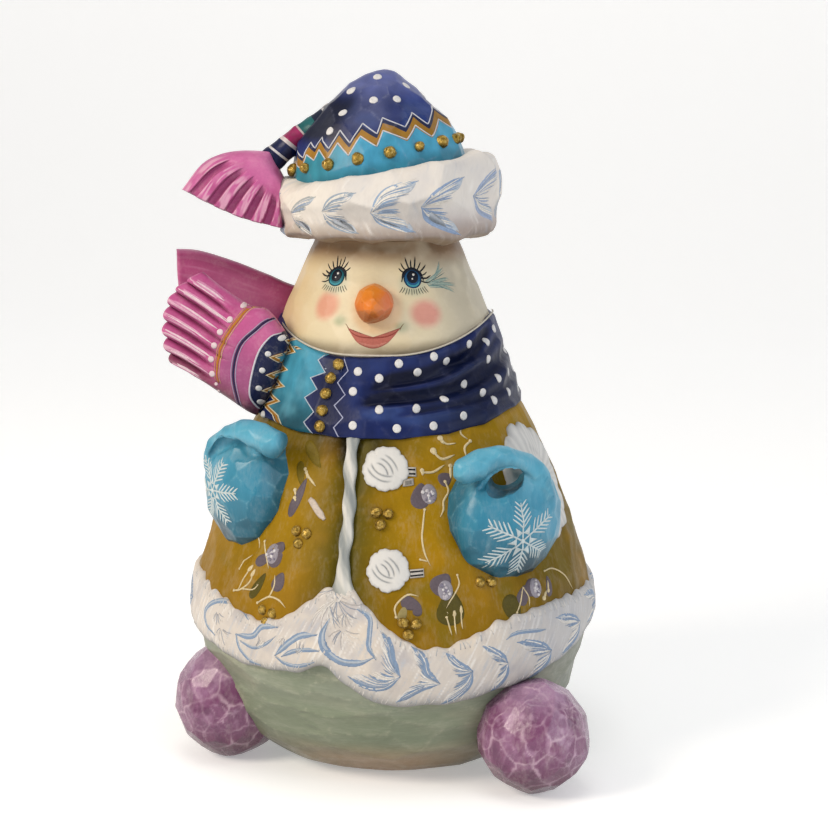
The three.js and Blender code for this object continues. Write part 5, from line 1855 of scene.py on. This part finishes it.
# ---- painted detail: hat -----------------------------------------------------------------------------
HAT_DOTS = [(2.9, 217.2), (61.7, 214.5), (-36.1, 212.9), (1.2, 210.1), (29.2, 210.4), (-27.6, 206.2),
            (-31.3, 200.7), (98, 211.5), (128, 213.5), (160, 210.5), (-168, 214.0), (-140, 209.0),
            (-112, 212.5), (-88, 208), (78, 207.6)]


def paint_crown(canvas):
    paint = Paint(canvas)
    for azimuth, z in HAT_DOTS:
        paint.dot(azimuth, z, 1.45, "f0f1f4", 0.3, 0.95)
    line = np.array(hat_corners())
    for offset in (0.0, -HAT_OCHRE):
        for a, b in zip(line, line[1:]):
            if a[0] < 260:
                paint.line([a + (0, offset), b + (0, offset)], 0.5, "dfe3ee", (1, 1), 0.14, sharp=True)
    paint.finish("hat_details", "crown_paint")


def leaf(paint, tip, upper, lower, ink, width, hairs, seed, hair_tints=("fbf8f2", "a3b6d2"), wash="cbd6e4"):
    """Two plumes of brushed fur: arcs nested from the outer edge to the middle, all from one point."""
    rng = np.random.default_rng(seed)
    tip = np.array(tip, float)
    arms = [through([tip, *arm], 30) for arm in (upper, lower)]
    middle = (arms[0] + arms[1]) / 2
    palette = (ink, hair_tints[1], hair_tints[0], ink, hair_tints[0])
    for arm in arms:
        within = middle + (arm - middle) * np.linspace(0.0, 0.8, 30)[:, None]
        paint.blob(np.vstack([arm[::4], within[25:3:-5]]), wash, 0.05, rings=3, around=44)
        paint.line(arm, width, ink, (0.15, 0.1), 0.07)
        for k in range(hairs):
            share = 1.08 - 1.0 * (k + rng.uniform(0, 0.8)) / hairs
            first, last = rng.integers(0, 9), int(rng.uniform(14, 18) + 12 * min(share, 1.0))
            path = middle + (arm - middle) * (share * np.linspace(0.92, 1.06, 30))[:, None]
            tint, fine = palette[int(rng.integers(0, 5))], rng.uniform(0.3, 0.75)
            paint.line(path[first:last], fine, tint, (0.3, 0.1), 0.09 + 0.012 * (k % 4), step=1.1)


BRIM_LEAVES = [  # tip, upper arm, lower arm as (azimuth, height)
    ((-50.0, 175.5), [(-42.8, 179.0), (-31.4, 181.0)], [(-46.5, 171.8), (-34.0, 169.4)]),
    ((-27.6, 176.6), [(-20.5, 180.8), (-8.0, 182.6)], [(-22.4, 172.6), (-7.5, 170.2)]),
    ((-0.9, 176.6), [(6.5, 183.2), (23.0, 186.2)], [(5.0, 173.4), (22.0, 170.6)]),
    ((24.0, 178.3), [(33.5, 183.6), (50.0, 187.0)], [(29.8, 173.8), (48.0, 169.2)]),
    ((56.0, 181.0), [(65.3, 186.0), (80.0, 189.8)], [(63.0, 176.0), (80.0, 172.5)]),
]


def paint_brim(canvas):
    paint = Paint(canvas)
    inks = ("b7c0c4", "a6b8cc", "a3bcdd", "a0b9df", "b0c1e2")
    for k, (tip, upper, lower) in enumerate(BRIM_LEAVES):
        leaf(paint, tip, upper, lower, inks[k], 2.2, 15, 200 + k)
    for k in range(9):
        u = wrap(84 + 24.4 * k)
        rise = BRIM_RISE * BRIM_RADIUS * math.sin(math.radians(u)) * 0.5
        upper = [(u + 7, 182.6 + rise), (u + 19, 184.6 + rise)]
        lower = [(u + 6, 172.8 + rise), (u + 19, 170.4 + rise * 0.6)]
        leaf(paint, (u, 177.5 + rise), upper, lower, "a3bad8", 2.0, 7, 220 + k)
    paint.finish("brim_details", "fur_paint")


# ---- painted detail: coat and hem --------------------------------------------------------------------
def paint_hem(canvas):
    paint = Paint(canvas)
    blue = "90a9ca"
    chevrons = [  # tip, upper arm, lower arm: a braid whose tips point to the figure's left
        ((9.8, 40.9), [(7.9, 46.0), (7.0, 51.0), (4.6, 55.0)], [(5.6, 37.4), (1.3, 37.6), (-3.8, 40.6)]),
        ((20.2, 38.0), [(16.9, 41.8), (15.8, 46.3), (12.6, 50.2)], [(16.2, 37.2), (12.2, 34.8), (8.6, 32.2)]),
        ((29.0, 41.2), [(25.2, 43.6), (21.4, 47.8)], [(27.8, 36.4), (24.4, 32.8), (20.6, 30.9)]),
        ((39.4, 41.8), [(36.5, 45.3), (31.6, 48.6)], [(38.6, 37.3), (34.8, 32.6)]),
        ((55.2, 42.4), [(49.6, 45.8), (42.0, 48.0)], [(53.4, 38.0), (45.2, 32.6)]),
        ((70.0, 47.5), [(64.5, 50.5), (57.0, 52.2)], [(67.8, 43.2), (60.0, 39.6)]),
    ]
    for k, (tip, upper, lower) in enumerate(chevrons):
        leaf(paint, tip, upper, lower, blue, 2.7, 14, 240 + k, ("f9f7f3", "acbad0"), "eae9e8")
    for k in range(15):
        u = 88 + 14.6 * k
        low, top = (float(x) for x in hem_edges(u))
        mid = (low + top) / 2
        upper = [(u - 5, mid + 3.4), (u - 13, mid + 4.6)]
        lower = [(u - 4.5, mid - 3.2), (u - 12, mid - 4.6)]
        leaf(paint, (u, mid), upper, lower, blue, 2.2, 6, 260 + k, ("f6f4f0", "b3bfd0"), "efedea")
    loops = [
        ([(-48.3, 44.9), (-53.3, 47.0), (-54.8, 51.0), (-49.5, 55.4), (-42.7, 56.8), (-37.6, 55.2),
          (-34.0, 53.4)], 2.1),
        ([(-38.4, 48.0), (-32.1, 48.9), (-28.9, 52.4), (-23.6, 53.2)], 2.3),
        ([(-38.2, 48.2), (-36.8, 44.1), (-33.4, 40.9), (-29.6, 40.0)], 1.6),
        ([(-36.6, 46.4), (-31.5, 45.4), (-27.4, 47.4), (-24.2, 50.4)], 1.3),
        ([(-24.4, 44.3), (-20.4, 48.8), (-16.4, 52.0), (-11.8, 52.8)], 2.6),
        ([(-22.4, 44.4), (-18.6, 46.8), (-14.6, 48.0), (-11.0, 48.0)], 1.8),
        ([(-24.2, 44.0), (-21.3, 42.4), (-17.2, 42.4), (-12.4, 44.4)], 1.6),
        ([(-8.9, 57.6), (-10.4, 53.0), (-9.6, 48.6), (-5.7, 45.2), (-0.7, 45.0), (3.0, 46.8)], 2.9),
        ([(-1.6, 61.0), (1.8, 58.6), (1.9, 53.9), (1.8, 49.8), (3.6, 46.1)], 2.0),
        ([(38.7, 49.4), (42.7, 50.8), (52.6, 49.6)], 1.6),
    ]
    for path, width in loops:
        paint.line(path, width, blue, (0.2, 0.15), 0.08)
        paint.line(np.array(path) + (0.25, 0.3), width * 0.35, "c3cfdd", (0.2, 0.15), 0.13)
    rng = np.random.default_rng(7)
    fans = [((-8.0, 66.0), 200, 340, 6.5), ((-7.0, 63.5), 205, 335, 8.5), ((-9.0, 62.0), 215, 300, 8.0),
            ((-44.5, 48.5), 200, 340, 5.5), ((-31, 45.5), 10, 60, 4.5), ((-18, 46), 20, 70, 4.5),
            ((-5, 55), 200, 330, 6.5), ((-4.5, 60), 215, 320, 4.5), ((-21, 51), 200, 250, 4.0),
            ((-47, 53), 200, 330, 4.0)]
    for (u, z), start, stop, length in fans:
        for angle in np.linspace(start, stop, 9):
            a = math.radians(angle + rng.uniform(-6, 6))
            reach = length * rng.uniform(0.75, 1.1)
            bends = ((0.9, 0.0), (0.6 * reach, 0.1), (reach, 0.25))
            points = [(far * math.cos(a + turn), far * math.sin(a + turn)) for far, turn in bends]
            tint = rng.choice(["f6f4f0", "f6f4f0", "a9b2c2", "c9c6c6"])
            paint.line(at_mm(canvas, u, z, points), rng.uniform(0.28, 0.46), tint, (0.8, 0.1), 0.1)
    comb_edges(paint, rng)
    paint.finish("hem_details", "fur_paint")


def comb_edges(paint, rng):
    """Short hairs that cross the fur band's two edges and break them up."""
    for azimuth in np.arange(-72, 108, 1.55):
        u = azimuth + rng.uniform(-0.6, 0.6)
        low, top = (float(edge) for edge in hem_edges(u))
        for z, way in ((low + 2.6, -1), (top - 2.4, 1)):
            lean, reach = rng.uniform(-1.6, 1.0), rng.uniform(1.6, 2.5)
            points = [(0, 0), (lean * 0.4, way * reach * 0.55), (lean, way * reach)]
            tint = rng.choice(["f1efec", "dcdad8", "e6e4e2", "c3c8ce"])
            paint.line(at_mm(paint.canvas, u, z, points), rng.uniform(0.35, 0.6), tint, (0.8, 0.15), 0.1)


def silver_blob(paint, u, v, seed):
    """A spongy silver-grey flower head beside a violet petal."""
    rng = np.random.default_rng(seed)
    paint.dot(u, v, 2.5, "a7a3b0", 0.25, 1.25, around=18)
    for _ in range(16):
        a, r = rng.uniform(0, 2 * math.pi), rng.uniform(0.2, 2.1)
        radius, grey = rng.uniform(0.35, 0.7), rng.choice(["e9e8ee", "cfcbd6", "8f8ba0"])
        paint.dot_near(u, v, r * math.cos(a), 1.2 * r * math.sin(a), radius, grey, 0.55, around=8)


def petal(paint, u, v, length, width, lean, colour):
    """A pointed oval laid along a direction, in degrees from the horizontal."""
    a = math.radians(lean)
    outline = []
    for k in range(14):
        t = 2 * math.pi * k / 14
        x, y = length / 2 * math.cos(t), width / 2 * math.sin(t) * (1 - 0.35 * math.cos(t))
        outline.append((x * math.cos(a) - y * math.sin(a), x * math.sin(a) + y * math.cos(a)))
    paint.blob(at_mm(paint.canvas, u, v, outline), colour, 0.09, rings=2, around=24)


def paint_coat(canvas):
    paint = Paint(canvas)
    cream, violet, leafy = "e8d8ae", "6c626c", "5c5316"
    petals = [(-23.0, 103.4, 11, 3.6, -48, "7d6a12"), (-26.6, 97.5, 8.0, 3.0, -70, "7d6a12"),
              (-25.6, 90.5, 13.5, 3.2, 74, violet), (17.2, 92.6, 8.0, 5.6, 80, violet),
              (26.6, 97.0, 4.6, 4.2, 30, violet), (-29.5, 73.6, 8.5, 6.6, 60, violet),
              (-33.6, 71.4, 7.5, 3.4, 30, violet), (-26.2, 66.0, 6.4, 4.4, 70, violet),
              (21.8, 67.4, 7.4, 6.6, 50, violet), (23.7, 60.4, 11, 8.6, 84, leafy),
              (-33.5, 63.6, 9.5, 3.4, 66, leafy), (12.9, 62.2, 6.6, 4.0, -20, violet),
              (14.6, 60.4, 3.8, 2.8, 80, violet), (10.6, 59.4, 5.4, 2.6, 70, "a79a68"),
              (50.6, 62.6, 5.6, 6.4, 80, violet), (46.8, 61.0, 6.6, 4.4, 62, violet),
              (57.6, 61.6, 6.6, 3.2, 84, violet), (42.6, 57.6, 9.5, 6.2, -70, leafy),
              (30.5, 89.5, 3.4, 3.2, 20, violet)]
    for place in petals:
        petal(paint, *place)
    for k, (u, v) in enumerate(((20.2, 93.0), (-30.6, 73.4), (22.6, 65.6), (52.0, 62.2))):
        silver_blob(paint, u, v, 300 + k)
    strokes = [
        ([(-25.1, 98.9), (-22.8, 96.8), (-19.4, 94.4)], 0.75),
        ([(-24.2, 98.0), (-23.6, 97.0), (-23.2, 96.2)], 0.8),
        ([(-27.4, 92.6), (-26.6, 91.0)], 0.8), ([(-26.8, 90.4), (-26.0, 89.4)], 0.8),
        ([(18.3, 88.7), (17.4, 84.8), (16.8, 81.1), (17.3, 76.8), (18.8, 72.8)], 0.6),
        ([(26.4, 96.2), (27.2, 93.4), (25.0, 90.8), (24.6, 88.4), (23.1, 86.4)], 0.7),
        ([(18.6, 99.2), (22.6, 99.2), (26.9, 101.0)], 0.75), ([(18.4, 99.8), (18.6, 98.4)], 0.9),
        ([(29.2, 100.6), (28.6, 97.0)], 0.9),
        ([(23.6, 104.6), (26.5, 102.7), (31.6, 103.6)], 0.8), ([(23.4, 105.2), (24.4, 104.0)], 1.3),
        ([(27.4, 108.2), (29.3, 106.8), (33.2, 106.8)], 0.6), ([(27.0, 108.6), (28.2, 106.9)], 1.2),
        ([(37.8, 112.0), (36.2, 109.6), (38.6, 107.6)], 0.6),
        ([(39.6, 107.0), (36.6, 105.4), (36.2, 102.8)], 0.75),
        ([(22.4, 57.9), (23.0, 55.4), (23.7, 52.4)], 0.5), ([(24.5, 58.9), (24.6, 55.8), (24.9, 52.6)], 0.5),
        ([(26.6, 59.6), (26.5, 56.8), (26.8, 53.9)], 0.5),
        ([(26.6, 69.6), (26.8, 66.6), (23.4, 62.0), (22.4, 60.6)], 0.5),
        ([(-42.6, 60.4), (-39.6, 61.4), (-37.0, 64.0), (-36.6, 66.8)], 0.6),
        ([(-40.4, 61.2), (-39.4, 64.8), (-38.0, 68.0)], 0.5),
        ([(-43.0, 66.8), (-41.4, 69.8), (-39.2, 71.6)], 0.5),
        ([(-38.4, 61.8), (-35.0, 62.2), (-33.4, 64.0)], 0.5),
        ([(-32.2, 58.8), (-30.2, 60.3), (-28.0, 61.4), (-25.0, 60.8), (-22.5, 59.0)], 0.6),
        ([(-28.2, 61.4), (-27.4, 64.6), (-28.0, 67.6)], 0.55),
        ([(-34.6, 76.6), (-33.2, 73.0), (-31.0, 69.0)], 0.55),
        ([(-36.8, 82.2), (-40.0, 79.6), (-42.4, 77.0)], 0.55),
        ([(-41.0, 78.4), (-38.0, 76.4), (-36.8, 74.0)], 0.5),
        ([(57.5, 66.2), (62.0, 66.0), (67.0, 62.6), (70.5, 57.6)], 0.5),
        ([(43.8, 56.4), (45.4, 59.2), (47.0, 63.4)], 0.5), ([(47.2, 63.2), (48.8, 60.2), (48.6, 57.4)], 0.5),
        ([(54.6, 58.6), (56.0, 60.6)], 1.0), ([(57.0, 60.4), (57.4, 63.4)], 0.9),
        ([(41.6, 53.4), (43.0, 54.8)], 1.0),
        ([(16.0, 74.6), (18.4, 74.0)], 0.5), ([(8.8, 58.4), (8.6, 61.6), (11.8, 64.8), (15.0, 64.4)], 0.6),
    ]
    for path, width in strokes:
        paint.line(path, width * 1.15, cream, (0.85, 0.25), 0.2)
        paint.dot(*path[0], width * 0.8, cream, 0.26, around=10)
    buds = [(22.4, 58.2, 80), (24.6, 59.2, 88), (26.6, 59.8, 84), (-38.0, 68.0, 55), (-33.6, 64.2, 40),
            (-36.6, 66.8, 70)]
    for u, v, lean in buds:
        petal(paint, u, v, 2.8, 1.2, lean, cream)
    ribbon = [(-20.8, 90.6), (-18.6, 89.2), (-16.4, 87.2), (-14.2, 85.2)]
    paint.line(ribbon, 2.5, "dccfc4", (0.75, 0.45), 0.35)
    paint.finish("coat_details", "body_paint")


BUTTON_LOOPS = [  # azimuth, height, length and breadth in mm, tilt, whether it is striped black
    (13.6, 99.6, 4.6, 2.9, -0.04, True),
    (13.3, 96.3, 3.4, 2.2, 0.12, False),
    (14.8, 70.6, 4.4, 2.6, 0.06, True),
]


def paint_button_loops(canvas):
    """The short loops beside the buttons."""
    paint = Paint(canvas)
    for u, v, long, tall, tilt, striped in BUTTON_LOOPS:
        slope = tilt * long
        x, y = long / 2, tall / 2
        corners = [(-x, -y), (x, -y + slope), (x, y + slope), (-x, y)]
        ground = "d0cdc8" if striped else "b9b5b0"
        paint.blob(at_mm(canvas, u, v, corners), ground, 0.45, rings=1, smooth=False, around=24)
        if striped:
            for y in (-0.22 * tall, 0.22 * tall):
                ends = [(-long / 2 + 0.2, y), (long / 2 - 0.3, y + slope)]
                paint.line_near(u, v, ends, 0.27 * tall, "12131c", (1, 1), 0.62)
        else:
            inside = [(0.6 * x, 0.55 * y) for x, y in corners]
            paint.blob(at_mm(canvas, u, v, inside), "8a8884", 0.55, rings=1, smooth=False)
    paint.finish("button_loops", "body_paint")


# ---- painted detail: snowflakes ----------------------------------------------------------------------
def paint_snowflake(canvas, name, u, v, radius, arms, squeeze):
    """A six-armed flake: feathered arms, wedges between them and a ring of cells at its heart."""
    paint = Paint(canvas)
    ink, thick = "dcecf2", 0.62

    def at(distance, angle):
        a = math.radians(angle)
        return u + distance * math.cos(a) * squeeze, v + distance * math.sin(a)

    for angle, full in arms:
        paint.line([at(0.6, angle), at(radius * 0.97 * full, angle)], thick + 0.08, ink, (1, 0.5), 0.13)
        for k in range(5):
            along = radius * (0.34 + 0.13 * k) * full
            reach = radius * (0.37 - 0.035 * k)
            for sign in (-1, 1):
                foot, b = at(along, angle), math.radians(angle + sign * 44)
                tip = (foot[0] + reach * math.cos(b) * squeeze, foot[1] + reach * math.sin(b))
                paint.line([foot, tip], thick, ink, (1, 0.45), 0.12)
        wedge = [at(radius * 0.44, angle + 30), at(radius * 0.24, angle + 8), at(radius * 0.20, angle + 52)]
        paint.blob(wedge, ink, 0.11, rings=1, smooth=False, around=12)
        paint.line([at(radius * 0.24, angle), at(radius * 0.24, angle + 60)], thick * 0.8, ink, (1, 1), 0.14)
    paint.dot(u, v, 0.85, ink, 0.2)
    paint.finish(name, "mitten_paint")


def paint_mittens():
    paint_snowflake(mittens["mitten_left"], "snowflake_left", -3.0, -4.6, 12.2,
                    [(92, 1), (150, 1), (212, 0.95), (270, 0.85), (328, 0.8), (34, 1)], 1.12)
    paint_snowflake(mittens["mitten_right"], "snowflake_right", -1.6, -0.4, 11.4,
                    [(5, 1), (62, 1), (-55, 1), (122, 0.95), (184, 0.85), (244, 0.85)], 1.1)


# ---- assembly ----------------------------------------------------------------------------------------
make_camera()
make_light()
make_floor()
coat = make_coat()
make_snow_base()
hem = make_hem()
make_placket()
make_buttons(coat)
make_cuffs(coat)
face = make_head()
make_nose()
scarf = make_scarf()
fan = make_front_tail()
make_back_tail()
make_tassel()
brim = make_brim()
crown = make_crown()
make_hat_tip()
mittens = {name: make_mitten(name) for name in MITTENS}
for foot in FEET:
    make_foot(foot)
make_beads()
make_dowels()
paint_face(face)
paint_scarf(scarf)
paint_fan(fan)
paint_crown(crown)
paint_brim(brim)
paint_hem(hem)
paint_coat(coat)
paint_button_loops(coat)
paint_mittens()
